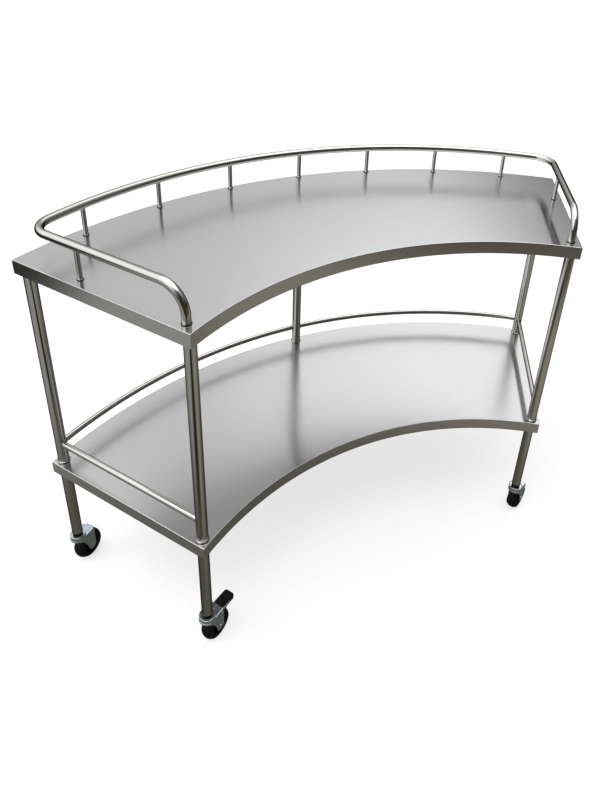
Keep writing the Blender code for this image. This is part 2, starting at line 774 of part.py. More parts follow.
def fork_nose():
    """The front of the pressing: a low wall that wraps round under the ring from one arm to the other."""
    outer = FORK_NOSE_RADIUS
    inner = outer - FORK_SHEET
    foot = FORK_TOP - FORK_NOSE_DEPTH
    profile = [
        (outer - FORK_NOSE_ROUNDING, FORK_TOP),
        (outer, FORK_TOP - FORK_NOSE_ROUNDING),
        (outer, foot),
        (inner, foot),
        (inner, FORK_TOP),
    ]
    wall = turned("fork_nose", profile, ROUND_STEPS, closed=True)
    reach = outer + CUTTER_EXTRA
    arm_start = -math.sqrt(outer**2 - FORK_HALF_WIDTH**2)
    keep = box("nose_front", (-reach, -reach, 0.0), (arm_start, reach, FORK_TOP + CUTTER_EXTRA))
    return combined("fork_nose", wall, [("INTERSECT", keep)])


def fork_mesh(braked):
    """A pressed fork: a channel trimmed in side and plan, with its nose, swivel ring and bores."""
    start = -FORK_NOSE_RADIUS - CUTTER_EXTRA
    end = FORK_REAR + CUTTER_EXTRA
    foot = WHEEL_RADIUS - FORK_BOSS_RADIUS - CUTTER_EXTRA
    body = channel("fork", FORK_HALF_WIDTH, FORK_SHEET, FORK_BEND, FORK_TOP, foot, start, end)
    reach = FORK_HALF_WIDTH + CUTTER_EXTRA
    steps = [
        ("INTERSECT", side_plate("fork_outline", fork_outline(), 2 * reach)),
        ("INTERSECT", plate("fork_front", fork_front(), 2 * (FORK_TOP + CUTTER_EXTRA))),
        ("UNION", fork_nose()),
        ("UNION", turned("swivel_ring", ring_profile(), ROUND_STEPS, closed=True)),
        ("DIFFERENCE", cylinder(
            "king_pin_bore",
            KING_PIN_RADIUS + RUNNING_GAP,
            (0.0, 0.0, FORK_TOP - CUTTER_EXTRA),
            (0.0, 0.0, FORK_TOP + CUTTER_EXTRA / 2),
            SMALL_ROUND_STEPS,
        )),
        ("DIFFERENCE", cylinder(
            "axle_bore",
            AXLE_RADIUS + SEAT_GAP,
            (WHEEL_TRAIL, -reach, WHEEL_RADIUS),
            (WHEEL_TRAIL, reach, WHEEL_RADIUS),
            SMALL_ROUND_STEPS,
        )),
    ]
    if braked:
        steps.append(("DIFFERENCE", cylinder(
            "pin_bore",
            PIN_RADIUS + SEAT_GAP,
            (PIN_RUN, -reach, PIN_HEIGHT),
            (PIN_RUN, reach, PIN_HEIGHT),
            SMALL_ROUND_STEPS,
        )))
    else:
        middle = FORK_TOP - FORK_SHEET / 2
        steps.insert(2, ("UNION", box(
            "tongue",
            (FORK_REAR - CUTTER_EXTRA, -TONGUE_HALF_WIDTH, middle - TONGUE_SHEET / 2),
            (FORK_REAR + TONGUE_LENGTH, TONGUE_HALF_WIDTH, middle + TONGUE_SHEET / 2),
        )))
    return finished(combined("castor_fork", body, steps), ZINC)


def axle_mesh():
    """The axle bolt about Z: a domed head, the shank through the fork and hub, and a nut."""
    face = FORK_HALF_WIDTH + SEAT_GAP
    profile = [
        (0.0, face + AXLE_HEAD_HEIGHT),
        (AXLE_HEAD_FLAT, face + AXLE_HEAD_HEIGHT),
        (AXLE_HEAD_RADIUS, face + AXLE_HEAD_EDGE),
        (AXLE_HEAD_RADIUS, face),
        (AXLE_RADIUS, face),
        (AXLE_RADIUS, -face - AXLE_NUT_HEIGHT - AXLE_END),
        (0.0, -face - AXLE_NUT_HEIGHT - AXLE_END),
    ]
    nut = cylinder(
        "axle_nut", AXLE_NUT_RADIUS, (0.0, 0.0, -face - AXLE_NUT_HEIGHT), (0.0, 0.0, -face), steps=6
    )
    bolt = turned("castor_axle", profile, SMALL_ROUND_STEPS)
    return finished(combined("castor_axle", bolt, [("UNION", nut)]), ZINC)


def hub_mesh():
    """The wheel's hard core about Z: a boss round the axle, a thin web and a rim under the tyre."""
    half_boss = FORK_GAP / 2 - RUNNING_GAP
    half_rim = TYRE_WIDTH / 2 - SEAT_GAP
    bore = AXLE_RADIUS + SEAT_GAP
    rim_inner = HUB_RADIUS - HUB_RIM
    profile = [
        (HUB_RADIUS, half_rim),
        (HUB_RADIUS, -half_rim),
        (rim_inner, -half_rim),
        (rim_inner, -HUB_WEB / 2),
        (HUB_BOSS_RADIUS, -HUB_WEB / 2),
        (HUB_BOSS_RADIUS, -half_boss),
        (bore, -half_boss),
        (bore, half_boss),
        (HUB_BOSS_RADIUS, half_boss),
        (HUB_BOSS_RADIUS, HUB_WEB / 2),
        (rim_inner, HUB_WEB / 2),
        (rim_inner, half_rim),
    ]
    return finished(turned("wheel_hub", profile, WHEEL_STEPS, closed=True), DARK_PLASTIC)


def tyre_mesh():
    """The tyre about Z, with a crowned tread."""
    half = TYRE_WIDTH / 2
    inner = HUB_RADIUS + SEAT_GAP
    crown = []
    for step in range(-CROWN_STEPS, CROWN_STEPS + 1):
        across = step / CROWN_STEPS
        drop = TYRE_CROWN * abs(across) ** TYRE_CROWN_POWER
        crown.append((WHEEL_RADIUS - drop, -across * half))
    profile = crown + [(inner, -half), (inner, half)]
    return finished(turned("wheel_tyre", profile, WHEEL_STEPS, closed=True), RUBBER)


def shoe_centre():
    """The brake shoe's middle in X and Z on the level lever; full travel just stops short of the tyre."""
    axle = Vector((WHEEL_TRAIL, WHEEL_RADIUS))
    pin = Vector((PIN_RUN, PIN_HEIGHT))
    reach = WHEEL_RADIUS + SHOE_RADIUS + SEAT_GAP
    pressed = axle + reach * Vector((math.cos(SHOE_ANGLE), math.sin(SHOE_ANGLE)))
    return pin + Matrix.Rotation(LEVER_TILT + BRAKE_TRAVEL, 2) @ (pressed - pin)


def lever_outline():
    """The side of the brake lever in X and Z: deep round the pin, tapering to its rear end."""
    over = LEVER_TOP + LEVER_SHEET
    foot = LEVER_TOP - LEVER_DEPTH
    end = LEVER_TOP - LEVER_END_DEPTH
    return [
        Vector((LEVER_FRONT, over)),
        Vector((LEVER_REAR, over)),
        Vector((LEVER_REAR, end)),
        Vector((PIN_RUN + LEVER_KNEE, foot)),
        Vector((PIN_RUN - PIN_HEAD_RADIUS, foot)),
        Vector((LEVER_FRONT, end)),
    ]


def lever_mesh():
    """The brake lever: a narrow pressed channel with a shoe under it, drawn in the castor's place."""
    start = LEVER_FRONT - CUTTER_EXTRA
    end = LEVER_REAR + CUTTER_EXTRA
    foot = LEVER_TOP - LEVER_DEPTH - CUTTER_EXTRA
    body = channel("lever", LEVER_HALF_WIDTH, LEVER_SHEET, LEVER_BEND, LEVER_TOP, foot, start, end)
    shoe = shoe_centre()
    roof = LEVER_TOP - LEVER_SHEET / 2
    outline = [Vector((shoe.x + SHOE_RADIUS, roof)), Vector((shoe.x - SHOE_RADIUS, roof))]
    for step in range(BEND_STEPS + 1):
        angle = math.pi + math.pi * step / BEND_STEPS
        outline.append(shoe + SHOE_RADIUS * Vector((math.cos(angle), math.sin(angle))))
    reach = LEVER_HALF_WIDTH + CUTTER_EXTRA
    steps = [
        ("INTERSECT", side_plate("lever_outline", lever_outline(), 2 * reach)),
        ("UNION", side_plate("shoe", outline, 2 * SHOE_HALF_WIDTH)),
        ("DIFFERENCE", cylinder(
            "lever_bore",
            PIN_RADIUS + SEAT_GAP,
            (PIN_RUN, -reach, PIN_HEIGHT),
            (PIN_RUN, reach, PIN_HEIGHT),
            SMALL_ROUND_STEPS,
        )),
    ]
    return finished(combined("brake_lever", body, steps), ZINC)


def rounded_rectangle(low_x, high_x, half_width, corner, steps=3):
    centres = [
        (high_x - corner, half_width - corner, 0.0),
        (low_x + corner, half_width - corner, math.pi / 2),
        (low_x + corner, corner - half_width, math.pi),
        (high_x - corner, corner - half_width, 1.5 * math.pi),
    ]
    points = []
    for x, y, start in centres:
        for step in range(steps + 1):
            angle = start + math.pi / 2 * step / steps
            points.append((x + corner * math.cos(angle), y + corner * math.sin(angle)))
    return points


def pad_mesh():
    """The foot pad: it lies on the lever and its thick tip drops down behind the lever's end."""
    low = LEVER_TOP + SEAT_GAP
    high = low + PAD_THICKNESS
    tip = LEVER_REAR + SEAT_GAP
    side = [
        Vector((PAD_FRONT, low)),
        Vector((tip, low)),
        Vector((tip, low - PAD_DROP)),
        Vector((PAD_REAR, low - PAD_DROP)),
        Vector((PAD_REAR, high - PAD_EDGE)),
        Vector((PAD_REAR - PAD_EDGE, high)),
        Vector((PAD_FRONT + PAD_EDGE, high)),
        Vector((PAD_FRONT, high - PAD_EDGE)),
    ]
    body = side_plate("brake_pad", side, 2 * (PAD_HALF_WIDTH + CUTTER_EXTRA))
    plan = plate(
        "pad_plan",
        rounded_rectangle(PAD_FRONT - CUTTER_EXTRA, PAD_REAR, PAD_HALF_WIDTH, PAD_CORNER),
        2 * CUTTER_EXTRA,
    )
    plan.transform(Matrix.Translation((0.0, 0.0, LEVER_TOP)))
    return finished(combined("brake_pad", body, [("INTERSECT", plan)]), DARK_PLASTIC)


def pin_mesh():
    """The lever's pin about Z, with a low head at each end."""
    face = FORK_HALF_WIDTH + SEAT_GAP
    profile = [
        (0.0, face + PIN_HEAD_HEIGHT),
        (PIN_HEAD_RADIUS, face + PIN_HEAD_HEIGHT),
        (PIN_HEAD_RADIUS, face),
        (PIN_RADIUS, face),
        (PIN_RADIUS, -face),
        (PIN_HEAD_RADIUS, -face),
        (PIN_HEAD_RADIUS, -face - PIN_HEAD_HEIGHT),
        (0.0, -face - PIN_HEAD_HEIGHT),
    ]
    return finished(turned("brake_pin", profile, SMALL_ROUND_STEPS), ZINC)


def build_legs_and_castors():
    posts = post_places()
    leg = leg_mesh()
    plug = plug_mesh()
    stem = stem_mesh()
    forks = {False: fork_mesh(False), True: fork_mesh(True)}
    axle = axle_mesh()
    hub = hub_mesh()
    tyre = tyre_mesh()
    lever = lever_mesh()
    pad = pad_mesh()
    pin = pin_mesh()
    upright_to_across = (math.pi / 2, 0.0, 0.0)
    for key, leg_name, trail_angle, braked in CASTORS:
        foot = in_world(posts[leg_name])
        place(f"leg_{leg_name}", leg, foot)
        place(f"leg_plug_{key}", plug, foot)
        place(f"castor_stem_{key}", stem, foot)
        swivel = pivot(f"swivel_{key}", foot, (0.0, 0.0, trail_angle))
        place(f"castor_fork_{key}", forks[braked], parent=swivel)
        hub_place = (WHEEL_TRAIL, 0.0, WHEEL_RADIUS)
        place(f"castor_axle_{key}", axle, hub_place, upright_to_across, swivel)
        spin = pivot(f"wheel_spin_{key}", hub_place, upright_to_across, swivel)
        place(f"wheel_hub_{key}", hub, parent=spin)
        place(f"wheel_tyre_{key}", tyre, parent=spin)
        if not braked:
            continue
        pin_place = (PIN_RUN, 0.0, PIN_HEIGHT)
        place(f"brake_pin_{key}", pin, pin_place, upright_to_across, swivel)
        hinge = pivot(f"brake_hinge_{key}", pin_place, (0.0, LEVER_TILT, 0.0), swivel)
        back = tuple(-value for value in pin_place)
        place(f"brake_lever_{key}", lever, back, parent=hinge)
        place(f"brake_pad_{key}", pad, back, parent=hinge)


build_shelves()
build_rail()
build_balusters()
build_rods()
build_legs_and_castors()
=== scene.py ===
"""Finished look of the curved two-shelf instrument trolley: sheet, bent tube and swivel castors.

Lengths are in metres. The frame has the floor at z = 0 and the plane of symmetry at x = 0, and the
user stands in the hollow of the curve, at -Y.
"""

import json
import math
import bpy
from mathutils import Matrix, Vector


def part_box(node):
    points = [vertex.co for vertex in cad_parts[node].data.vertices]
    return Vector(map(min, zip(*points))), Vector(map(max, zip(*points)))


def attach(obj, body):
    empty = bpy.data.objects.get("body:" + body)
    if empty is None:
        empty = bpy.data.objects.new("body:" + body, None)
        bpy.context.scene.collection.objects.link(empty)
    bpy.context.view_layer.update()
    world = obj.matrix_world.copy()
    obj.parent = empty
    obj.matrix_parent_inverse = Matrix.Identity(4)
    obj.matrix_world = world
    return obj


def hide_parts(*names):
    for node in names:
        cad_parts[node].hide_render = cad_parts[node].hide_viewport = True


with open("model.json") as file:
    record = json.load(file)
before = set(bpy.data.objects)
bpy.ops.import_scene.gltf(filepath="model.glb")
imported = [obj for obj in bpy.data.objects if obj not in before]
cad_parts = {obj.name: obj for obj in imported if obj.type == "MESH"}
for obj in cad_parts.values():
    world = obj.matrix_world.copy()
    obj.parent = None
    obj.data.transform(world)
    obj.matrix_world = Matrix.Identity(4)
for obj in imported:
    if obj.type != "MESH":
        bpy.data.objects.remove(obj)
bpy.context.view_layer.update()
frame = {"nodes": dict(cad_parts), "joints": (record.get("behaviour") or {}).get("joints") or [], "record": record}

from types import SimpleNamespace

import bmesh
import bpy
from bpy.props import FloatProperty, FloatVectorProperty, IntProperty, PointerProperty
from mathutils import Matrix, Vector

bl_info = {
    "name": "Curved instrument trolley",
    "version": (1, 0, 0),
    "blender": (4, 5, 0),
    "location": "3D View > Sidebar > Trolley",
    "description": "Dresses the packed trolley with its finished sheet, tube and castor pieces",
    "category": "Object",
}

GRAIN = "grain"
# Mask of the painted shade at the foot of each ring, where it stands on the sheet
FOOT_SHADE = "joint"
SHARP_ANGLE = math.radians(32.0)
FRAME_BODY = "frame"
CASTORS = ("fl", "fr", "rl", "rr", "rm")
BRAKED = ("fl", "rr")
LEGS = {
    "fl": "front_left",
    "fr": "front_right",
    "rl": "rear_left",
    "rr": "rear_right",
    "rm": "rear_middle",
}

SHEET_SLOT = "brushed_stainless_sheet"
TUBE_SLOT = "polished_stainless_tube"
ZINC_SLOT = "zinc_plated_steel"
# Slot of the stems: their dark steel is partly painted shade for the recess in the swivel ring
DARK_SLOT = "dark_oiled_steel"
PLASTIC_SLOT = "black_plastic"
RUBBER_SLOT = "black_rubber"

# Gaps between pieces, and how far a cutter reaches past what it cuts
SEAT_GAP = 0.0003
RUNNING_GAP = 0.0005
CUTTER_EXTRA = 0.010

# Broken edges and roundings too small to be worth changing
FINE_EDGE = 0.0004
PRESSED_EDGE = 0.00035
LEVER_EDGE = 0.00025
HUB_EASE = 0.0008
DOME_FOOT = 0.0005
CROWN_POWER = 2.2
TYRE_SIDE = [(0.8, 1.0), (0.62, 0.985), (0.52, 0.96), (0.42, 0.985), (0.3, 1.0), (0.0, 1.0)]
# How far up a ring the painted shade at its foot reaches
FOOT_SHADE_HEIGHT = 0.0024
ROD_SINK = 0.0005
BEAD_STRETCH = 1.4
BROKEN_EDGE_ANGLE = math.radians(35.0)
MERGE_DISTANCE = 1e-6
TURN_MERGE_DISTANCE = 0.00001

# A baluster's weld: how far it stands out of the rod, at heights over the rail's underside
BALUSTER_WELD = [(0.0010, 0.004), (0.0009, 0.0008), (0.0004, -0.0008), (0.0, -0.0022)]

# The rail is this much thinner than packed, so that rounding keeps it in the CAD box
RAIL_FIT = 0.00001

# Steps of round shapes
BEND_STEPS = 4
CURVE_STEPS = 18
CROWN_STEPS = 8
BOLT_SIDES = 32
BEAD_STEPS = 8
BALUSTERS_EACH_WAY = 3
WHEEL_SIDES = 64
TYRE_SIDES = 96
BEND_ARC_STEPS = 24
RAIL_ARC_STEPS = 60

# Finishes
BROAD_LINES = 0.11
DUST_HEIGHT = 0.035
DUST_SCALE = 140.0

# Stage
FLOOR_HALF = 30.0
CARD_DROP = 0.001
# Colour of the painted dark reflections: the shadow where the camera stands, and the dark board
PAINTED_DARK_REFLECTION = (0.030, 0.026, 0.015)
FLOOR_DIMMED = 0.34
FLOOR_LIFT = 0.68
SKY_LOW = 0.30
SKY_MIDDLE = 0.74
SKY_OVERHEAD = 1.5
SKY_LEFT = 0.60
SKY_RIGHT_DIMMED = 0.30
SKY_FRONT_DIMMED = 0.12
WINDOW_WAY = (0.532, 0.551, 0.643)
WINDOW_LIGHT = 0.66


# Sizes and colours that a user may change


def length(name, description, default):
    return FloatProperty(
        name=name, description=description, default=default, min=0.0, unit="LENGTH", precision=4
    )


def angle(name, description, degrees):
    start = math.radians(degrees)
    return FloatProperty(
        name=name, description=description, default=start, subtype="ANGLE", precision=4
    )


def colour(name, description, default):
    return FloatVectorProperty(
        name=name, description=description, default=default, min=0.0, max=1.0, subtype="COLOR"
    )


class TrolleySheetSizes(bpy.types.PropertyGroup):
    """The two folded shelves."""

    front_radius: length("Front radius", "Radius of the hollow front edge", 0.765)
    rear_radius: length("Rear radius", "Radius of the rear edge", 1.156)
    front_half_span: length("Front half span", "Half the distance between the front corners", 0.464)
    rear_half_span: length("Rear half span", "Half the distance between the rear corners", 0.720)
    side_depth: length("Side depth", "How far behind the front corners the rear ones lie", 0.3862)
    sheet: length("Sheet", "Thickness of the sheet", 0.0012)
    skirt: length("Skirt", "Depth of the folded skirt", 0.032)
    fold: length("Fold radius", "Outer radius of the fold along the top edge", 0.002)
    hem: length("Hem", "Width of the hem inside the skirt", 0.003)
    hem_height: length("Hem height", "How far the hem is turned up", 0.008)
    arc_steps: IntProperty(name="Arc steps", description="Steps along each long edge", default=120)


class TrolleyTubeSizes(bpy.types.PropertyGroup):
    """Legs, rail, balusters and rods."""

    leg_radius: length("Leg radius", "Outer radius of a leg", 0.0125)
    leg_wall: length("Leg wall", "Wall of a leg's tube", 0.0012)
    post_inset: length("Post inset", "From a shelf's edges to a leg's axis", 0.0195)
    ring_width: length("Foot ring width", "How far the ring at a leg's foot stands out", 0.002)
    ring_height: length("Foot ring height", "Height of the ring at a leg's foot", 0.003)
    rail_radius: length("Rail radius", "Outer radius of the top rail", 0.009)
    rail_height: length("Rail height", "Height of the rail's axis over the shelf", 0.072)
    rail_arc: length("Rail arc", "Radius of the rail's rear arc", 1.022)
    rail_rear_inset: length("Rail rear inset", "From the rear edge to the rail's axis", 0.012)
    rail_side_inset: length("Rail side inset", "From the side edge to the rail's axis", 0.023)
    rail_foot_run: length("Rail foot run", "From the front corner to the rail's foot", 0.029)
    rail_corner: length("Rail corner bend", "Radius of the rail's rear bends", 0.055)
    rail_foot_bend: length("Rail foot bend", "Radius of the bends down to the shelf", 0.055)
    rail_ring_width: length(
        "Rail ring width", "How far the ring at the rail's foot stands out", 0.0012
    )
    rail_ring_height: length("Rail ring height", "Height of the ring at the rail's foot", 0.0022)
    baluster_radius: length("Baluster radius", "Radius of the rods under the rail", 0.005)
    flange_radius: length("Flange radius", "Radius of a baluster's foot", 0.0072)
    flange_height: length("Flange height", "Height of a baluster's foot", 0.0018)
    side_run: length("Side baluster run", "From the front corner to the side baluster", 0.295)
    pitch: angle("Baluster pitch", "Angle between the balusters along the rear", 11.35)
    rod_radius: length("Rod radius", "Radius of the rods over the lower shelf", 0.007)
    rod_height: length("Rod height", "Height of their axes over the lower shelf", 0.054)
    bead: length("Weld bead", "Width of a polished weld bead", 0.0011)
    sides: IntProperty(name="Sides", description="Sides of a round tube", default=40, min=8)


class TrolleyCastorSizes(bpy.types.PropertyGroup):
    """A swivel castor: wheel, fork, swivel ring and stem."""

    wheel_radius: length("Wheel radius", "Radius of the wheel", 0.0375)
    trail: length("Trail", "From the swivel axis to the axle", 0.024)
    tyre_width: length("Tyre width", "Width of the tyre", 0.029)
    tyre_crown: length("Tyre crown", "How far the tread drops at its edges", 0.0056)
    tyre_side_gap: length("Tyre side gap", "Between the tyre and an arm of the fork", 0.0013)
    tyre_top_gap: length("Tyre top gap", "Between the tyre and the fork's plate", 0.0098)
    hub_radius: length("Hub radius", "Radius of the wheel's hard core", 0.026)
    hub_web: length("Hub web", "Thickness of the core's web", 0.008)
    hub_boss: length("Hub boss", "Radius of the core round the axle", 0.010)
    hub_rim: length("Hub rim", "Thickness of the core's rim", 0.004)
    fork_sheet: length("Fork sheet", "Thickness of the pressed fork", 0.0022)
    fork_bend: length("Fork bend", "Radius of the fork's long bends", 0.0035)
    fork_boss: length("Axle boss", "Radius of the fork's arm round the axle", 0.0112)
    nose_bulge: length("Nose bulge", "How far the nose stands out of the arms", 0.0017)
    nose_depth: length("Nose depth", "Depth of the nose's wall", 0.0042)
    nose_rounding: length("Nose rounding", "Rounding of the nose's top edge", 0.0015)
    arch_run: length("Arch run", "From the swivel axis to the arch's corner", 0.0028)
    tongue_length: length("Tongue length", "How far the tongue stands out behind", 0.005)
    tongue_half: length("Tongue half width", "Half the width of the tongue", 0.010)
    tongue_sheet: length("Tongue sheet", "Thickness of the tongue", 0.0018)
    axle_radius: length("Axle radius", "Radius of the axle bolt", 0.004)
    axle_head: length("Axle head", "Radius of the bolt's head", 0.0065)
    axle_head_height: length("Axle head height", "Height of the bolt's domed head", 0.0020)
    axle_nut: length("Axle nut", "Radius of the nut, across corners", 0.0072)
    axle_nut_height: length("Axle nut height", "Height of the nut", 0.004)
    axle_end: length("Axle end", "How far the bolt stands out of the nut", 0.001)
    head_height: length("Head height", "From the fork's plate to the leg's end", 0.020)
    ring_radius: length("Ring radius", "Outer radius of the swivel ring", 0.0190)
    ring_wall: length("Ring wall", "Width of the swivel ring", 0.0075)
    ring_height: length("Ring height", "Height of the swivel ring", 0.011)
    ring_bead: length("Ring bead", "Radius of the bead round the ring's rim", 0.0012)
    race_height: length("Race height", "Height of the collar in the ring", 0.002)
    stem_radius: length("Stem radius", "Radius of the threaded stem", 0.005)
    stem_reach: length("Stem reach", "How far the stem goes up over its nut", 0.034)
    neck_radius: length("Neck radius", "Radius of the stem under its nut", 0.0078)
    nut_corners: length("Nut corners", "Width of the stem's hexagon across corners", 0.0196)
    nut_height: length("Nut height", "Height of the stem's hexagon", 0.0085)
    king_pin: length("King pin", "Radius of the rivet through the fork's plate", 0.004)
    king_pin_head: length("King pin head", "Radius of the rivet's head", 0.0065)
    king_pin_head_height: length("King pin head height", "Height of the rivet's head", 0.0022)
    plug_flange: length("Plug flange", "Height of the plug's flange", 0.003)
    plug_length: length("Plug length", "How far the plug goes up into the leg", 0.030)


class TrolleyBrakeSizes(bpy.types.PropertyGroup):
    """A castor's brake, drawn with its lever level."""

    pin_run: length("Pin run", "From the swivel axis to the lever's pin", 0.030)
    pin_radius: length("Pin radius", "Radius of the lever's pin", 0.002)
    pin_head: length("Pin head", "Radius of the pin's heads", 0.0032)
    pin_head_height: length("Pin head height", "Height of the pin's heads", 0.0012)
    pin_tyre_gap: length("Pin gap", "Between the pin and the tyre", 0.0006)
    half_width: length("Lever half width", "Half the width of the lever", 0.0144)
    sheet: length("Lever sheet", "Thickness of the pressed lever", 0.0015)
    bend: length("Lever bend", "Radius of the lever's long bends", 0.002)
    front: length("Lever front", "From the swivel axis to the lever's front", 0.024)
    rear: length("Lever rear", "From the swivel axis to the lever's rear", 0.064)
    roof_gap: length("Roof gap", "Between the pin and the lever's plate", 0.0005)
    depth: length("Lever depth", "Depth of the lever's walls at the pin", 0.0078)
    end_depth: length("Lever end depth", "Depth of the lever's walls at its ends", 0.0045)
    knee: length("Lever knee", "From the pin to where the walls begin to taper", 0.0064)
    tilt: angle("Tilt", "How far the lever's rear hangs down at rest", 6.0)
    travel: angle("Travel", "How far the lever goes down from rest", 12.0)
    shoe_radius: length("Shoe radius", "Radius of the shoe's foot", 0.004)
    shoe_half: length("Shoe half width", "Half the width of the shoe", 0.008)
    shoe_angle: angle("Shoe angle", "Where on the wheel the shoe presses", 60.0)
    pad_front: length("Pad front", "From the swivel axis to the pad's front edge", 0.0357)
    pad_rear: length("Pad rear", "From the swivel axis to the pad's tip", 0.0804)
    pad_half: length("Pad half width", "Half the width of the foot pad", 0.0137)
    pad_thickness: length("Pad thickness", "Thickness of the foot pad", 0.0048)
    pad_drop: length("Pad drop", "How far the pad's tip drops behind the lever", 0.007)
    pad_corner: length("Pad corner", "Radius of the pad's corners in plan", 0.006)
    pad_edge: length("Pad edge", "Rounding of the pad's edges", 0.0014)


class TrolleyFinishes(bpy.types.PropertyGroup):
    """Colours of the finishes, as linear values."""

    sheet_light: colour("Sheet, light", "Light lines of the brushed sheet", (0.635, 0.637, 0.640))
    sheet_dark: colour("Sheet, dark", "Dark lines of the brushed sheet", (0.605, 0.607, 0.609))
    tube_light: colour("Tube, light", "Light lines of the polished tube", (0.68, 0.675, 0.655))
    tube_dark: colour("Tube, dark", "Dark lines of the polished tube", (0.54, 0.53, 0.50))
    # Colour of the painted shade at the foot of each ring, where it stands on the sheet
    joint: colour("Joint", "Dark line where a ring stands on the sheet", (0.045, 0.042, 0.036))
    zinc_light: colour("Zinc, light", "Light patches of the zinc plating", (0.66, 0.72, 0.76))
    zinc_dark: colour("Zinc, dark", "Dull patches of the zinc plating", (0.50, 0.55, 0.59))
    # The stems' dark steel, made this dark partly as painted shade for the recess in the swivel ring
    stem: colour("Dark steel", "Oiled steel of the stems", (0.070, 0.070, 0.072))
    plastic: colour("Plastic", "Moulded black plastic", (0.0055, 0.0058, 0.0060))
    rubber: colour("Rubber", "Tyre tread", (0.0045, 0.0047, 0.0048))
    dust: colour("Dust", "Pale dust low on the wheels", (0.050, 0.047, 0.043))
    floor: colour("Floor", "Plain pale floor", (0.92, 0.92, 0.92))


def sheet_sizes():
    return bpy.context.scene.trolley_sheet


def tube_sizes():
    return bpy.context.scene.trolley_tube


def castor_sizes():
    return bpy.context.scene.trolley_castor


def brake_sizes():
    return bpy.context.scene.trolley_brake


def finishes():
    return bpy.context.scene.trolley_finishes


def castor_shape():
    """The castor's sizes that follow from the others."""
    castor = castor_sizes()
    brake = brake_sizes()
    half_gap = castor.tyre_width / 2 + castor.tyre_side_gap
    half_width = half_gap + castor.fork_sheet
    fork_top = 2 * castor.wheel_radius + castor.tyre_top_gap + castor.fork_sheet
    pin_reach = castor.wheel_radius + brake.pin_tyre_gap + brake.pin_radius
    pin_height = castor.wheel_radius + math.sqrt(pin_reach**2 - (brake.pin_run - castor.trail) ** 2)
    return SimpleNamespace(
        half_gap=half_gap,
        half_width=half_width,
        top=fork_top,
        rear=castor.trail + castor.fork_boss,
        nose=half_width + castor.nose_bulge,
        leg_end=fork_top + castor.head_height,
        pin_height=pin_height,
        lever_top=pin_height + brake.pin_radius + brake.roof_gap + brake.sheet,
    )


# Plan of the trolley, worked out round the centre of the front arc


def rear_shift():
    """How far behind the front arc's centre the rear arc's centre lies."""
    sizes = sheet_sizes()
    front_y = math.sqrt(sizes.front_radius**2 - sizes.front_half_span**2)
    rear_y = math.sqrt(sizes.rear_radius**2 - sizes.rear_half_span**2)
    return front_y + sizes.side_depth - rear_y


def side_line():
    """The right side's front corner, the way along it to the rear, and the way out of it."""
    sizes = sheet_sizes()
    front_y = math.sqrt(sizes.front_radius**2 - sizes.front_half_span**2)
    front = Vector((sizes.front_half_span, front_y))
    rear = Vector((sizes.rear_half_span, front_y + sizes.side_depth))
    along = (rear - front).normalized()
    return front, along, Vector((along.y, -along.x))


def side_point(inset, run):
    front, along, outward = side_line()
    return front - outward * inset + along * run


def side_meets_arc(inset, centre_y, radius):
    """Where the right side, moved in by the inset, meets a circle centred on the middle line."""
    start = side_point(inset, 0.0) - Vector((0.0, centre_y))
    along = side_line()[1]
    middle = start.dot(along)
    run = -middle + math.sqrt(middle**2 - start.length_squared + radius**2)
    return start + along * run + Vector((0.0, centre_y))


def arc(centre_y, radius, start, end, steps):
    """Points on a circle centred on the middle line, by the angle from +Y towards +X."""
    angles = [start + (end - start) * step / steps for step in range(steps + 1)]
    return [Vector((radius * math.sin(a), centre_y + radius * math.cos(a))) for a in angles]


def half_angle(point, centre_y):
    return math.atan2(point.x, point.y - centre_y)


def shelf_outline(inset):
    sizes = sheet_sizes()
    front_radius = sizes.front_radius + inset
    rear_radius = sizes.rear_radius - inset
    front = half_angle(side_meets_arc(inset, 0.0, front_radius), 0.0)
    rear = half_angle(side_meets_arc(inset, rear_shift(), rear_radius), rear_shift())
    front_points = arc(0.0, front_radius, front, -front, sizes.arc_steps)
    return front_points + arc(rear_shift(), rear_radius, -rear, rear, sizes.arc_steps)


def to_frame():
    """The move from the plan's own centre to the frame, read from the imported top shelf."""
    return Vector((0.0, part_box("top_shelf")[0].y - side_point(0.0, 0.0).y, 0.0))


def rail_centre_y():
    sheet = sheet_sizes()
    tube = tube_sizes()
    return rear_shift() + sheet.rear_radius - tube.rail_rear_inset - tube.rail_arc


def post_places():
    """Each leg's axis in the frame's plan, by its castor's key."""
    sheet = sheet_sizes()
    inset = tube_sizes().post_inset
    rear_arc = sheet.rear_radius - inset
    front = side_meets_arc(inset, 0.0, sheet.front_radius + inset)
    rear = side_meets_arc(inset, rear_shift(), rear_arc)
    plan = {
        "fl": Vector((-front.x, front.y)),
        "fr": front,
        "rl": Vector((-rear.x, rear.y)),
        "rr": rear,
        "rm": Vector((0.0, rear_shift() + rear_arc)),
    }
    return {key: point.to_3d() + to_frame() for key, point in plan.items()}


def castor_place(key):
    """The castor's place and turn at rest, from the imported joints: wheel towards local +X."""
    joints = {joint["name"]: joint for joint in frame["joints"]}
    foot = joints[f"swivel_{key}"]["pos_m"]
    axle_way = joints[f"roll_{key}"]["axis"]
    turn = math.atan2(-axle_way[0], axle_way[1])
    return Matrix.Translation((foot[0], foot[1], 0.0)) @ Matrix.Rotation(turn, 4, "Z")


def shelf_top(name):
    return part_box(name)[1].z


# Building blocks


def pieces_collection():
    name = "Instrument trolley, finished"
    found = bpy.data.collections.get(name)
    if found is None:
        found = bpy.data.collections.new(name)
        bpy.context.scene.collection.children.link(found)
    return found


def linked(name, data):
    obj = bpy.data.objects.new(name, data)
    bpy.context.scene.collection.objects.link(obj)
    return obj


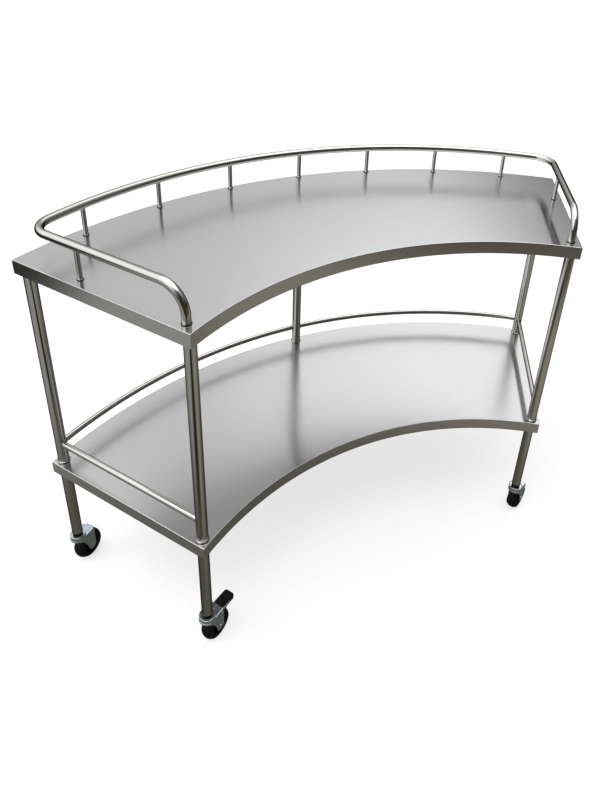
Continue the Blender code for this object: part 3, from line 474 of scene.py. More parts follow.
def evaluated(obj):
    """The plain mesh that the object's modifiers or curve settings make; the object is removed."""
    bpy.context.view_layer.update()
    graph = bpy.context.evaluated_depsgraph_get()
    mesh = bpy.data.meshes.new_from_object(obj.evaluated_get(graph))
    mesh.transform(obj.matrix_world)
    bpy.data.objects.remove(obj, do_unlink=True)
    return mesh


def applied(obj):
    """The object's evaluated mesh, with points that lie together merged."""
    mesh = evaluated(obj)
    bm = bmesh.new()
    bm.from_mesh(mesh)
    bmesh.ops.remove_doubles(bm, verts=bm.verts, dist=MERGE_DISTANCE)
    bm.to_mesh(mesh)
    bm.free()
    return mesh


def evenly_shaded(name, mesh):
    """The mesh with smooth roundings whose large flat faces are still shaded flat."""
    mesh.shade_smooth()
    mesh.set_sharp_from_angle(angle=SHARP_ANGLE)
    obj = linked(f"{name} shading", mesh)
    normals = obj.modifiers.new("Even normals", "WEIGHTED_NORMAL")
    normals.keep_sharp = True
    result = evaluated(obj)
    bpy.data.meshes.remove(mesh)
    result.name = name
    return result


def keep_grain(mesh):
    """Keeps each point's own place, before it is moved, for patterns that follow the piece."""
    if GRAIN in mesh.attributes:
        return
    attribute = mesh.attributes.new(GRAIN, "FLOAT_VECTOR", "POINT")
    flat = [value for vert in mesh.vertices for value in vert.co]
    attribute.data.foreach_set("vector", flat)


def mark_foot_shade(mesh, foot, least_radius=0.0):
    """Marks the lowest edge of a ring, drawn about Z, for painted shade where it stands on the sheet."""
    marks = mesh.attributes.new(FOOT_SHADE, "FLOAT", "POINT")
    for vert, mark in zip(mesh.vertices, marks.data):
        near = 1.0 - abs(vert.co.z - foot) / FOOT_SHADE_HEIGHT
        if math.hypot(vert.co.x, vert.co.y) >= least_radius:
            mark.value = max(0.0, near)


def moved(mesh, matrix):
    keep_grain(mesh)
    copy = mesh.copy()
    copy.transform(matrix)
    return copy


def put(name, mesh, material, body, nodes=()):
    """A finished piece: shaded, in its material, riding on its body, in place of its CAD nodes."""
    if mesh is None or not mesh.polygons:
        raise RuntimeError(f"{name} has no faces")
    keep_grain(mesh)
    mesh = evenly_shaded(name, mesh)
    mesh.materials.clear()
    mesh.materials.append(material)
    obj = bpy.data.objects.new(name, mesh)
    pieces_collection().objects.link(obj)
    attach(obj, body)
    if nodes:
        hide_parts(*nodes)
    return obj


def turned(name, profile, steps, closed=False):
    """A mesh turned about Z from (radius, height) points that run down its outer side."""
    mesh = bpy.data.meshes.new(name)
    edges = [(i, i + 1) for i in range(len(profile) - 1)]
    if closed:
        edges.append((len(profile) - 1, 0))
    mesh.from_pydata([(radius, 0.0, height) for radius, height in profile], edges, [])
    obj = linked(name, mesh)
    screw = obj.modifiers.new("Turn", "SCREW")
    screw.steps = steps
    screw.render_steps = steps
    screw.use_merge_vertices = True
    screw.merge_threshold = TURN_MERGE_DISTANCE
    return applied(obj)


def plate(name, outline, thickness):
    """A flat plate in the XY plane, with half its thickness on each side of it."""
    curve = bpy.data.curves.new(name, "CURVE")
    curve.dimensions = "2D"
    curve.fill_mode = "BOTH"
    curve.extrude = thickness / 2
    spline = curve.splines.new("POLY")
    spline.points.add(len(outline) - 1)
    for target, point in zip(spline.points, outline):
        target.co = (point[0], point[1], 0.0, 1.0)
    spline.use_cyclic_u = True
    return applied(linked(name, curve))


def side_plate(name, outline, width):
    """A plate whose outline is drawn in X and Z, with half its width on each side of y = 0."""
    mesh = plate(name, outline, width)
    mesh.transform(Matrix.Rotation(math.pi / 2, 4, "X"))
    return mesh


def cylinder(name, radius, start, end, steps=32):
    start = Vector(start)
    end = Vector(end)
    bm = bmesh.new()
    bmesh.ops.create_cone(
        bm,
        cap_ends=True,
        segments=steps,
        radius1=radius,
        radius2=radius,
        depth=(end - start).length,
    )
    turn = (end - start).to_track_quat("Z", "Y").to_matrix().to_4x4()
    bmesh.ops.transform(bm, matrix=Matrix.Translation((start + end) / 2) @ turn, verts=bm.verts)
    mesh = bpy.data.meshes.new(name)
    bm.to_mesh(mesh)
    bm.free()
    return mesh


def box(name, low, high):
    low = Vector(low)
    high = Vector(high)
    bm = bmesh.new()
    bmesh.ops.create_cube(bm, size=1.0)
    bmesh.ops.scale(bm, vec=high - low, verts=bm.verts)
    bmesh.ops.translate(bm, vec=(low + high) / 2, verts=bm.verts)
    mesh = bpy.data.meshes.new(name)
    bm.to_mesh(mesh)
    bm.free()
    return mesh


def combined(name, mesh, steps, edge=0.0):
    """The mesh after a list of (operation, other mesh) Booleans, with its sharp edges broken."""
    obj = linked(name, mesh)
    others = []
    for number, (operation, other) in enumerate(steps, 1):
        modifier = obj.modifiers.new(f"Boolean {number}", "BOOLEAN")
        modifier.operation = operation
        modifier.object = linked(f"{name} tool {number}", other)
        others.append(modifier.object)
    if edge > 0.0:
        bevel = obj.modifiers.new("Broken edges", "BEVEL")
        bevel.limit_method = "ANGLE"
        bevel.angle_limit = BROKEN_EDGE_ANGLE
        bevel.width = edge
        bevel.segments = 2
    result = applied(obj)
    for other in others:
        bpy.data.objects.remove(other, do_unlink=True)
    return result


# Geometry trees


def named_output(node, name):
    return next(socket for socket in node.outputs if socket.name == name and socket.enabled)


def new_tree(name, inputs):
    """A geometry tree with named inputs. Returns it, its input node and its sockets by name."""
    tree = bpy.data.node_groups.new(name, "GeometryNodeTree")
    sockets = {}
    for label, kind in inputs:
        sockets[label] = tree.interface.new_socket(label, in_out="INPUT", socket_type=kind)
    tree.interface.new_socket("Result", in_out="OUTPUT", socket_type="NodeSocketGeometry")
    return tree, tree.nodes.new("NodeGroupInput"), sockets


def end_tree(tree, geometry, material):
    """Ends the tree with Realize Instances and Set Material."""
    realize = tree.nodes.new("GeometryNodeRealizeInstances")
    finish = tree.nodes.new("GeometryNodeSetMaterial")
    output = tree.nodes.new("NodeGroupOutput")
    tree.links.new(geometry, realize.inputs["Geometry"])
    tree.links.new(realize.outputs["Geometry"], finish.inputs["Geometry"])
    tree.links.new(material, finish.inputs["Material"])
    tree.links.new(finish.outputs["Geometry"], output.inputs["Result"])


def tube_tree():
    """A round bar along a path, which keeps its grain: two ways across and one along."""
    tree, given, sockets = new_tree(
        "Tube along a path",
        [
            ("Path", "NodeSocketGeometry"),
            ("Radius", "NodeSocketFloat"),
            ("Sides", "NodeSocketInt"),
            ("Finish", "NodeSocketMaterial"),
        ],
    )
    nodes = tree.nodes
    link = tree.links.new
    path = nodes.new("GeometryNodeMeshToCurve")
    link(given.outputs["Path"], path.inputs["Mesh"])
    run = nodes.new("GeometryNodeSplineParameter")
    keep_run = nodes.new("GeometryNodeCaptureAttribute")
    keep_run.capture_items.new("FLOAT", "Run")
    link(path.outputs["Curve"], keep_run.inputs["Geometry"])
    link(run.outputs["Length"], keep_run.inputs["Run"])
    ring = nodes.new("GeometryNodeCurvePrimitiveCircle")
    link(given.outputs["Sides"], ring.inputs["Resolution"])
    link(given.outputs["Radius"], ring.inputs["Radius"])
    place = nodes.new("GeometryNodeInputPosition")
    keep_place = nodes.new("GeometryNodeCaptureAttribute")
    keep_place.capture_items.new("VECTOR", "Place")
    link(ring.outputs["Curve"], keep_place.inputs["Geometry"])
    link(place.outputs["Position"], keep_place.inputs["Place"])
    sweep = nodes.new("GeometryNodeCurveToMesh")
    sweep.inputs["Fill Caps"].default_value = True
    link(keep_run.outputs["Geometry"], sweep.inputs["Curve"])
    link(keep_place.outputs["Geometry"], sweep.inputs["Profile Curve"])
    split = nodes.new("ShaderNodeSeparateXYZ")
    link(keep_place.outputs["Place"], split.inputs["Vector"])
    grain = nodes.new("ShaderNodeCombineXYZ")
    link(split.outputs["X"], grain.inputs["X"])
    link(split.outputs["Y"], grain.inputs["Y"])
    link(keep_run.outputs["Run"], grain.inputs["Z"])
    store = nodes.new("GeometryNodeStoreNamedAttribute")
    store.data_type = "FLOAT_VECTOR"
    store.inputs["Name"].default_value = GRAIN
    link(sweep.outputs["Mesh"], store.inputs["Geometry"])
    link(grain.outputs["Vector"], store.inputs["Value"])
    end_tree(tree, store.outputs["Geometry"], given.outputs["Finish"])
    return tree, sockets


def repeat_tree():
    """A copy of one piece at each point of a path, turned by the path's own angle at that point."""
    tree, given, sockets = new_tree(
        "Repeat on points",
        [
            ("Points", "NodeSocketGeometry"),
            ("Piece", "NodeSocketObject"),
            ("Finish", "NodeSocketMaterial"),
        ],
    )
    nodes = tree.nodes
    link = tree.links.new
    piece = nodes.new("GeometryNodeObjectInfo")
    link(given.outputs["Piece"], piece.inputs["Object"])
    turn = nodes.new("GeometryNodeInputNamedAttribute")
    turn.data_type = "FLOAT_VECTOR"
    turn.inputs["Name"].default_value = "turn"
    rotation = nodes.new("FunctionNodeEulerToRotation")
    link(named_output(turn, "Attribute"), rotation.inputs["Euler"])
    copies = nodes.new("GeometryNodeInstanceOnPoints")
    link(given.outputs["Points"], copies.inputs["Points"])
    link(piece.outputs["Geometry"], copies.inputs["Instance"])
    link(rotation.outputs["Rotation"], copies.inputs["Rotation"])
    end_tree(tree, copies.outputs["Instances"], given.outputs["Finish"])
    return tree, sockets


def tree_result(obj, made, values):
    """Runs a geometry tree on an object and returns the plain mesh that it makes."""
    tree, sockets = made
    modifier = obj.modifiers.new(tree.name, "NODES")
    modifier.node_group = tree
    for label, value in values.items():
        modifier[sockets[label].identifier] = value
    obj.update_tag()
    return evaluated(obj)


def existing(name, make):
    """A geometry tree that is built once."""
    if bpy.data.node_groups.get(name) is None:
        existing.made[name] = make()
    return existing.made[name]


existing.made = {}


def swept(name, points, radius, material, sides=None):
    """A round bar along the points."""
    mesh = bpy.data.meshes.new(name)
    mesh.from_pydata([tuple(p) for p in points], [(i, i + 1) for i in range(len(points) - 1)], [])
    made = existing("Tube along a path", tube_tree)
    values = {"Radius": radius, "Sides": sides or tube_sizes().sides, "Finish": material}
    return tree_result(linked(name, mesh), made, values)


def repeated(name, piece, places, material):
    """Copies of a mesh at (point, rotation) places."""
    keep_grain(piece)
    mesh = bpy.data.meshes.new(name)
    mesh.from_pydata([tuple(point) for point, turn in places], [], [])
    attribute = mesh.attributes.new("turn", "FLOAT_VECTOR", "POINT")
    attribute.data.foreach_set("vector", [value for point, turn in places for value in turn])
    source = linked(f"{name} source", piece)
    made = existing("Repeat on points", repeat_tree)
    result = tree_result(linked(name, mesh), made, {"Piece": source, "Finish": material})
    bpy.data.objects.remove(source, do_unlink=True)
    return result


# Finishes


def maths(tree, operation, *values, clamp=False):
    """A Math node on numbers or sockets. Returns its output."""
    node = tree.nodes.new("ShaderNodeMath")
    node.operation = operation
    node.use_clamp = clamp
    for socket, value in zip(node.inputs, values):
        if isinstance(value, bpy.types.NodeSocket):
            tree.links.new(value, socket)
        else:
            socket.default_value = value
    return node.outputs["Value"]


def noise(tree, vector, scale, detail, roughness=0.5, distortion=0.0):
    node = tree.nodes.new("ShaderNodeTexNoise")
    node.inputs["Detail"].default_value = detail
    node.inputs["Roughness"].default_value = roughness
    node.inputs["Distortion"].default_value = distortion
    tree.links.new(vector, node.inputs["Vector"])
    if isinstance(scale, bpy.types.NodeSocket):
        tree.links.new(scale, node.inputs["Scale"])
    else:
        node.inputs["Scale"].default_value = scale
    return node.outputs["Fac"]


def spread(tree, value, start, end, low=0.0, high=1.0, smooth=True):
    """The value's way from start to end, as a number from low to high."""
    node = tree.nodes.new("ShaderNodeMapRange")
    if smooth:
        node.interpolation_type = "SMOOTHSTEP"
    for label, given in (("From Min", start), ("From Max", end), ("To Min", low), ("To Max", high)):
        if isinstance(given, bpy.types.NodeSocket):
            tree.links.new(given, node.inputs[label])
        else:
            node.inputs[label].default_value = given
    tree.links.new(value, node.inputs["Value"])
    return node.outputs["Result"]


def between(tree, mask, low, high):
    """A number from low to high, by a mask from 0 to 1."""
    return spread(tree, mask, 0.0, 1.0, low, high, smooth=False)


def mix_values(tree, first, second, factor):
    mix = tree.nodes.new("ShaderNodeMix")
    tree.links.new(factor, mix.inputs["Factor"])
    tree.links.new(first, mix.inputs["A"])
    tree.links.new(second, mix.inputs["B"])
    return mix.outputs["Result"]


def mix_colours(tree, first, second, factor):
    """A mix of two colours, each given as values or as a socket."""
    mix = tree.nodes.new("ShaderNodeMix")
    mix.data_type = "RGBA"
    tree.links.new(factor, mix.inputs["Factor"])
    sockets = [socket for socket in mix.inputs if socket.type == "RGBA"]
    for socket, value in zip(sockets, (first, second)):
        if isinstance(value, bpy.types.NodeSocket):
            tree.links.new(value, socket)
        else:
            socket.default_value = (*value, 1.0)
    return next(socket for socket in mix.outputs if socket.type == "RGBA")


def shader_group(name, inputs, outputs):
    """A shader node group with these named inputs and outputs. Returns it and its two end nodes."""
    group = bpy.data.node_groups.new(name, "ShaderNodeTree")
    for label, kind, default in inputs:
        socket = group.interface.new_socket(label, in_out="INPUT", socket_type=kind)
        if default is not None:
            socket.default_value = default
    for label, kind in outputs:
        group.interface.new_socket(label, in_out="OUTPUT", socket_type=kind)
    return group, group.nodes.new("NodeGroupInput"), group.nodes.new("NodeGroupOutput")


def brushed_grain_group():
    """Lines left by a polishing belt: a shade and a height that run along one way."""
    group, given, out = shader_group(
        "Brushed grain",
        [
            ("Vector", "NodeSocketVector", None),
            ("Stretch", "NodeSocketVector", (1.0, 900.0, 900.0)),
            ("Contrast", "NodeSocketFloat", 1.0),
        ],
        [("Shade", "NodeSocketFloat"), ("Height", "NodeSocketFloat")],
    )
    stretch = group.nodes.new("ShaderNodeVectorMath")
    stretch.operation = "MULTIPLY"
    group.links.new(given.outputs["Vector"], stretch.inputs[0])
    group.links.new(given.outputs["Stretch"], stretch.inputs[1])
    fine = noise(group, stretch.outputs["Vector"], 1.0, 1.0)
    broad = noise(group, stretch.outputs["Vector"], BROAD_LINES, 1.0)
    both = maths(group, "ADD", fine, broad)
    centred = maths(group, "SUBTRACT", both, 1.0)
    shade = maths(group, "MULTIPLY_ADD", centred, given.outputs["Contrast"], 0.5, clamp=True)
    group.links.new(shade, out.inputs["Shade"])
    group.links.new(fine, out.inputs["Height"])
    return group


def mottle_group():
    """Soft uneven patches, such as handling marks on sheet or the bloom on zinc."""
    group, given, out = shader_group(
        "Soft mottling",
        [
            ("Vector", "NodeSocketVector", None),
            ("Scale", "NodeSocketFloat", 10.0),
            ("From", "NodeSocketFloat", 0.35),
            ("To", "NodeSocketFloat", 0.65),
        ],
        [("Mask", "NodeSocketFloat")],
    )
    patches = noise(group, given.outputs["Vector"], given.outputs["Scale"], 4.0, 0.55, 0.4)
    mask = spread(group, patches, given.outputs["From"], given.outputs["To"])
    group.links.new(mask, out.inputs["Mask"])
    return group


def dust_group():
    """Dust low over the floor, as a mask."""
    group, given, out = shader_group(
        "Floor dust",
        [("Vector", "NodeSocketVector", None), ("Amount", "NodeSocketFloat", 0.3)],
        [("Mask", "NodeSocketFloat")],
    )
    split = group.nodes.new("ShaderNodeSeparateXYZ")
    group.links.new(given.outputs["Vector"], split.inputs["Vector"])
    low = spread(group, split.outputs["Z"], DUST_HEIGHT, 0.0, smooth=False)
    patches = noise(group, given.outputs["Vector"], DUST_SCALE, 4.0)
    dusty = maths(group, "MULTIPLY", low, patches)
    mask = maths(group, "MULTIPLY", dusty, given.outputs["Amount"], clamp=True)
    group.links.new(mask, out.inputs["Mask"])
    return group


GROUP_MAKERS = {
    "Brushed grain": brushed_grain_group,
    "Soft mottling": mottle_group,
    "Floor dust": dust_group,
}


def add_group(tree, name, vector, **values):
    """A shared shader group, built once, placed in a material with its own values."""
    group = bpy.data.node_groups.get(name)
    if group is None:
        group = GROUP_MAKERS[name]()
    node = tree.nodes.new("ShaderNodeGroup")
    node.node_tree = group
    tree.links.new(vector, node.inputs["Vector"])
    for label, value in values.items():
        node.inputs[label].default_value = value
    return node


def new_finish(name):
    """A new material. Returns it, its node tree and its shader."""
    material = bpy.data.materials.new(name)
    material.use_nodes = True
    return material, material.node_tree, material.node_tree.nodes["Principled BSDF"]


def bump(tree, height, strength, distance):
    node = tree.nodes.new("ShaderNodeBump")
    node.inputs["Strength"].default_value = strength
    node.inputs["Distance"].default_value = distance
    tree.links.new(height, node.inputs["Height"])
    return node.outputs["Normal"]


def object_vector(tree):
    return tree.nodes.new("ShaderNodeTexCoord").outputs["Object"]


def attribute(tree, name, output):
    node = tree.nodes.new("ShaderNodeAttribute")
    node.attribute_name = name
    return node.outputs[output]


def finish(name):
    """The material of this name, made when it is first asked for."""
    found = bpy.data.materials.get(name)
    if found is None:
        found = FINISH_MAKERS[name](name)
    return found


def make_sheet(name):
    """Brushed stainless sheet: fine lines along X on the flat, and along the fold on the skirts."""
    material, tree, shader = new_finish(name)
    colours = finishes()
    place = object_vector(tree)
    flat = add_group(tree, "Brushed grain", place, Stretch=(0.8, 900.0, 900.0), Contrast=0.9)
    skirt = add_group(tree, "Brushed grain", place, Stretch=(0.8, 0.8, 900.0), Contrast=0.9)
    split = tree.nodes.new("ShaderNodeSeparateXYZ")
    tree.links.new(tree.nodes.new("ShaderNodeTexCoord").outputs["Normal"], split.inputs["Vector"])
    upright = maths(tree, "ABSOLUTE", split.outputs["Z"])
    shade = mix_values(tree, skirt.outputs["Shade"], flat.outputs["Shade"], upright)
    height = mix_values(tree, skirt.outputs["Height"], flat.outputs["Height"], upright)
    marks = add_group(tree, "Soft mottling", place, Scale=5.0)
    tone = mix_colours(tree, colours.sheet_dark, colours.sheet_light, shade)
    tree.links.new(tone, shader.inputs["Base Color"])
    lines = between(tree, shade, 0.172, 0.182)
    clouds = between(tree, marks.outputs["Mask"], -0.004, 0.008)
    tree.links.new(maths(tree, "ADD", lines, clouds), shader.inputs["Roughness"])
    tree.links.new(bump(tree, height, 0.08, 0.00001), shader.inputs["Normal"])
    shader.inputs["Metallic"].default_value = 1.0
    shader.inputs["Anisotropic"].default_value = 0.95
    shader.inputs["Anisotropic Rotation"].default_value = 0.25
    grain_way = tree.nodes.new("ShaderNodeCombineXYZ")
    grain_way.inputs["X"].default_value = 1.0
    tree.links.new(grain_way.outputs["Vector"], shader.inputs["Tangent"])
    return material


def make_tube(name):
    """Polished tube: faint lines along it, and painted shade at the foot of each ring, where it meets the sheet.
    """
    material, tree, shader = new_finish(name)
    colours = finishes()
    along = attribute(tree, GRAIN, "Vector")
    grain = add_group(tree, "Brushed grain", along, Stretch=(420.0, 420.0, 1.5), Contrast=0.9)
    marks = add_group(tree, "Soft mottling", object_vector(tree), Scale=14.0)
    shade = grain.outputs["Shade"]
    steel = mix_colours(tree, colours.tube_dark, colours.tube_light, shade)
    # Painted shade: each ring darkens towards this colour at its foot, on the sheet
    joint = spread(tree, attribute(tree, FOOT_SHADE, "Fac"), 0.15, 0.45)
    tree.links.new(mix_colours(tree, steel, colours.joint, joint), shader.inputs["Base Color"])
    lines = between(tree, shade, 0.085, 0.11)
    clouds = between(tree, marks.outputs["Mask"], -0.01, 0.02)
    tree.links.new(maths(tree, "ADD", lines, clouds), shader.inputs["Roughness"])
    tree.links.new(bump(tree, grain.outputs["Height"], 0.15, 0.00001), shader.inputs["Normal"])
    shader.inputs["Metallic"].default_value = 1.0
    shader.inputs["Specular Tint"].default_value = (0.05, 0.045, 0.04, 1.0)
    return material


def make_zinc(name):
    """Bright zinc plating over pressed steel, a little uneven."""
    material, tree, shader = new_finish(name)
    colours = finishes()
    bloom = add_group(tree, "Soft mottling", object_vector(tree), Scale=180.0, From=0.30, To=0.72)
    mask = bloom.outputs["Mask"]
    tone = mix_colours(tree, colours.zinc_light, colours.zinc_dark, mask)
    tree.links.new(tone, shader.inputs["Base Color"])
    tree.links.new(between(tree, mask, 0.12, 0.20), shader.inputs["Roughness"])
    tree.links.new(bump(tree, mask, 0.2, 0.00003), shader.inputs["Normal"])
    shader.inputs["Metallic"].default_value = 0.9
    return material


def make_dark_steel(name):
    """Dark steel with a slightly streaky film of grease; its dark tone is partly painted shade for the recess in
    the swivel ring.
    """
    material, tree, shader = new_finish(name)
    stem = finishes().stem
    film = add_group(tree, "Soft mottling", object_vector(tree), Scale=240.0, From=0.30, To=0.70)
    mask = film.outputs["Mask"]
    worn = tuple(min(1.0, value * 2.0) for value in stem)
    tree.links.new(mix_colours(tree, stem, worn, mask), shader.inputs["Base Color"])
    tree.links.new(between(tree, mask, 0.22, 0.36), shader.inputs["Roughness"])
    tree.links.new(bump(tree, mask, 0.2, 0.00004), shader.inputs["Normal"])
    shader.inputs["Metallic"].default_value = 1.0
    return material


def make_plastic(name):
    """Moulded black plastic with a fine spark-eroded texture, a little worn."""
    material, tree, shader = new_finish(name)
    plastic = finishes().plastic
    place = object_vector(tree)
    grain = add_group(tree, "Soft mottling", place, Scale=900.0, From=0.25, To=0.75)
    worn = add_group(tree, "Soft mottling", place, Scale=60.0, From=0.45, To=0.85)
    lighter = tuple(min(1.0, value * 1.8) for value in plastic)
    tone = mix_colours(tree, plastic, lighter, worn.outputs["Mask"])
    tree.links.new(tone, shader.inputs["Base Color"])
    fine = grain.outputs["Mask"]
    tree.links.new(between(tree, fine, 0.42, 0.55), shader.inputs["Roughness"])
    tree.links.new(bump(tree, fine, 0.3, 0.00005), shader.inputs["Normal"])
    shader.inputs["Specular IOR Level"].default_value = 0.2
    return material


def make_rubber(name):
    """Black tyre with a faint dusty bloom near the floor."""
    material, tree, shader = new_finish(name)
    colours = finishes()
    place = object_vector(tree)
    dust = add_group(tree, "Floor dust", place, Amount=0.35)
    scuff = add_group(tree, "Soft mottling", place, Scale=320.0, From=0.4, To=0.8)
    tone = mix_colours(tree, colours.rubber, colours.dust, dust.outputs["Mask"])
    tree.links.new(tone, shader.inputs["Base Color"])
    rough = scuff.outputs["Mask"]
    tree.links.new(between(tree, rough, 0.45, 0.62), shader.inputs["Roughness"])
    tree.links.new(bump(tree, rough, 0.3, 0.0001), shader.inputs["Normal"])
    shader.inputs["Specular IOR Level"].default_value = 0.2
    return material


FINISH_MAKERS = {
    "Brushed stainless sheet": make_sheet,
    "Polished stainless tube": make_tube,
    "Zinc plated steel": make_zinc,
    "Dark steel with painted recess shade": make_dark_steel,
    "Black plastic": make_plastic,
    "Black rubber": make_rubber,
}
SLOT_FINISHES = {
    SHEET_SLOT: "Brushed stainless sheet",
    TUBE_SLOT: "Polished stainless tube",
    ZINC_SLOT: "Zinc plated steel",
    DARK_SLOT: "Dark steel with painted recess shade",
    PLASTIC_SLOT: "Black plastic",
    RUBBER_SLOT: "Black rubber",
}


# Shelves


def tray(name):
    """A folded tray with its top at z = 0: sheet, skirt all round, and a hem turned up inside."""
    sizes = sheet_sizes()
    rows = [
        (0.0, -sizes.skirt),
        (sizes.hem, -sizes.skirt),
        (sizes.hem, sizes.hem_height - sizes.skirt),
    ]
    outline = shelf_outline(0.0)
    bm = bmesh.new()
    weight = bm.edges.layers.float.new("bevel_weight_edge")
    ring = [bm.verts.new((*point, 0.0)) for point in outline]
    top = bm.faces.new(ring)
    top.normal_update()
    if top.normal.z < 0:
        top.normal_flip()
    edges = list(top.edges)
    for edge in edges:
        edge[weight] = 1.0
    for inset, height in rows:
        step = bmesh.ops.extrude_edge_only(bm, edges=edges)
        edges = [item for item in step["geom"] if isinstance(item, bmesh.types.BMEdge)]
        added = {item for item in step["geom"] if isinstance(item, bmesh.types.BMVert)}
        new_ring = []
        for vert in ring:
            for edge in vert.link_edges:
                if edge.other_vert(vert) in added:
                    new_ring.append(edge.other_vert(vert))
                    edge[weight] = 0.0
        ring = new_ring
        for vert, target in zip(ring, shelf_outline(inset)):
            vert.co = (target.x, target.y, height)
    mesh = bpy.data.meshes.new(name)
    bmesh.ops.recalc_face_normals(bm, faces=bm.faces)
    top.normal_update()
    if top.normal.z < 0:
        bmesh.ops.reverse_faces(bm, faces=bm.faces)
    bm.to_mesh(mesh)
    bm.free()
    obj = linked(name, mesh)
    fold = obj.modifiers.new("Fold radius", "BEVEL")
    fold.limit_method = "WEIGHT"
    fold.width = sizes.fold
    fold.segments = BEND_STEPS
    solid = obj.modifiers.new("Sheet", "SOLIDIFY")
    solid.thickness = sizes.sheet
    solid.offset = -1.0
    solid.use_even_offset = True
    return applied(obj)


class TROLLEY_OT_shelves(bpy.types.Operator):
    """Makes the two folded shelves"""

    bl_idname = "trolley.shelves"
    bl_label = "Shelves"

    def execute(self, context):
        tube = tube_sizes()
        steel = finish("Brushed stainless sheet")
        top = tray("top tray")
        top.transform(Matrix.Translation(to_frame() + Vector((0.0, 0.0, shelf_top("top_shelf")))))
        put("top_tray", top, steel, FRAME_BODY, ["top_shelf"])
        holes = [
            ("DIFFERENCE", cylinder(
                f"post hole {key}",
                tube.leg_radius + SEAT_GAP,
                point - to_frame() - Vector((0.0, 0.0, CUTTER_EXTRA)),
                point - to_frame() + Vector((0.0, 0.0, CUTTER_EXTRA)),
                WHEEL_SIDES,
            ))
            for key, point in post_places().items()
        ]
        lower = combined("lower tray", tray("lower tray"), holes)
        low_place = to_frame() + Vector((0.0, 0.0, shelf_top("lower_shelf")))
        lower.transform(Matrix.Translation(low_place))
        put("lower_tray", lower, steel, FRAME_BODY, ["lower_shelf"])
        return {"FINISHED"}


# Rail, balusters, legs and rods


def half_rail_path():
    """The rail's centre line from the middle of the rear to its right foot, over the shelf."""
    tube = tube_sizes()
    bend = tube.rail_corner
    foot_bend = tube.rail_foot_bend
    height = tube.rail_height
    outward = side_line()[2]
    centre = side_meets_arc(tube.rail_side_inset + bend, rail_centre_y(), tube.rail_arc - bend)
    from_arc = half_angle(centre, rail_centre_y())
    side_angle = math.atan2(outward.x, outward.y)
    rear = arc(rail_centre_y(), tube.rail_arc, 0.0, from_arc, RAIL_ARC_STEPS)
    path = [(*p, height) for p in rear]
    for step in range(1, BEND_ARC_STEPS + 1):
        angle = from_arc + (side_angle - from_arc) * step / BEND_ARC_STEPS
        offset = Vector((math.sin(angle), math.cos(angle))) * bend
        path.append((*(centre + offset), height))
    for step in range(BEND_ARC_STEPS + 1):
        angle = math.pi / 2 * step / BEND_ARC_STEPS
        run = tube.rail_foot_run + foot_bend * (1.0 - math.sin(angle))
        drop = foot_bend * (1.0 - math.cos(angle))
        path.append((*side_point(tube.rail_side_inset, run), height - drop))
    path.append((*side_point(tube.rail_side_inset, tube.rail_foot_run), SEAT_GAP))
    return path


def over_top_shelf(point, height=0.0):
    top = Vector((0, 0, shelf_top("top_shelf")))
    return Vector((point[0], point[1], height)) + to_frame() + top


def ring_profile(inner, width, foot, height):
    """A polished weld ring: a rounded fillet against the tube."""
    return [
        (inner + width * 0.25, foot + height),
        (inner + width * 0.55, foot + height * 0.72),
        (inner + width * 0.85, foot + height * 0.42),
        (inner + width, foot + height * 0.18),
        (inner + width, foot),
        (inner, foot),
        (inner, foot + height),
    ]


class TROLLEY_OT_rail(bpy.types.Operator):
    """Makes the bent top rail and the rings at its feet"""

    bl_idname = "trolley.rail"
    bl_label = "Top rail"

    def execute(self, context):
        tube = tube_sizes()
        steel = finish("Polished stainless tube")
        right = half_rail_path()
        path = [(-x, y, z) for x, y, z in reversed(right[1:])] + right
        points = [over_top_shelf(p, p[2]) for p in path]
        rail = swept("bent rail", points, tube.rail_radius - RAIL_FIT, steel)
        put("bent_rail", rail, steel, FRAME_BODY, ["top_rail"])
        inner = tube.rail_radius + SEAT_GAP
        profile = ring_profile(inner, tube.rail_ring_width, SEAT_GAP, tube.rail_ring_height)
        ring = turned("rail ring", profile, tube.sides, closed=True)
        mark_foot_shade(ring, SEAT_GAP)
        foot = side_point(tube.rail_side_inset, tube.rail_foot_run)
        for side, sign in (("left", -1.0), ("right", 1.0)):
            place = Matrix.Translation(over_top_shelf((sign * foot.x, foot.y)))
            node = f"rail_foot_ring_{side}"
            put(f"rail_ring_{side}", moved(ring, place), steel, FRAME_BODY, [node])
        return {"FINISHED"}


def baluster_mesh():
    """A short rod with a flange at its foot and a smooth weld where it meets the rail."""
    tube = tube_sizes()
    radius = tube.baluster_radius
    under_rail = tube.rail_height - tube.rail_radius
    foot = SEAT_GAP
    weld = [(radius + out, under_rail + up) for out, up in BALUSTER_WELD]
    profile = [
        (0.0, weld[0][1]),
        *weld,
        (radius, foot + tube.flange_height + 0.0006),
        (radius + 0.0005, foot + tube.flange_height),
        (tube.flange_radius - 0.0004, foot + tube.flange_height * 0.8),
        (tube.flange_radius, foot + tube.flange_height * 0.5),
        (tube.flange_radius, foot),
        (0.0, foot),
    ]
    rod = turned("baluster", profile, BOLT_SIDES)
    mark_foot_shade(rod, foot)
    return rod


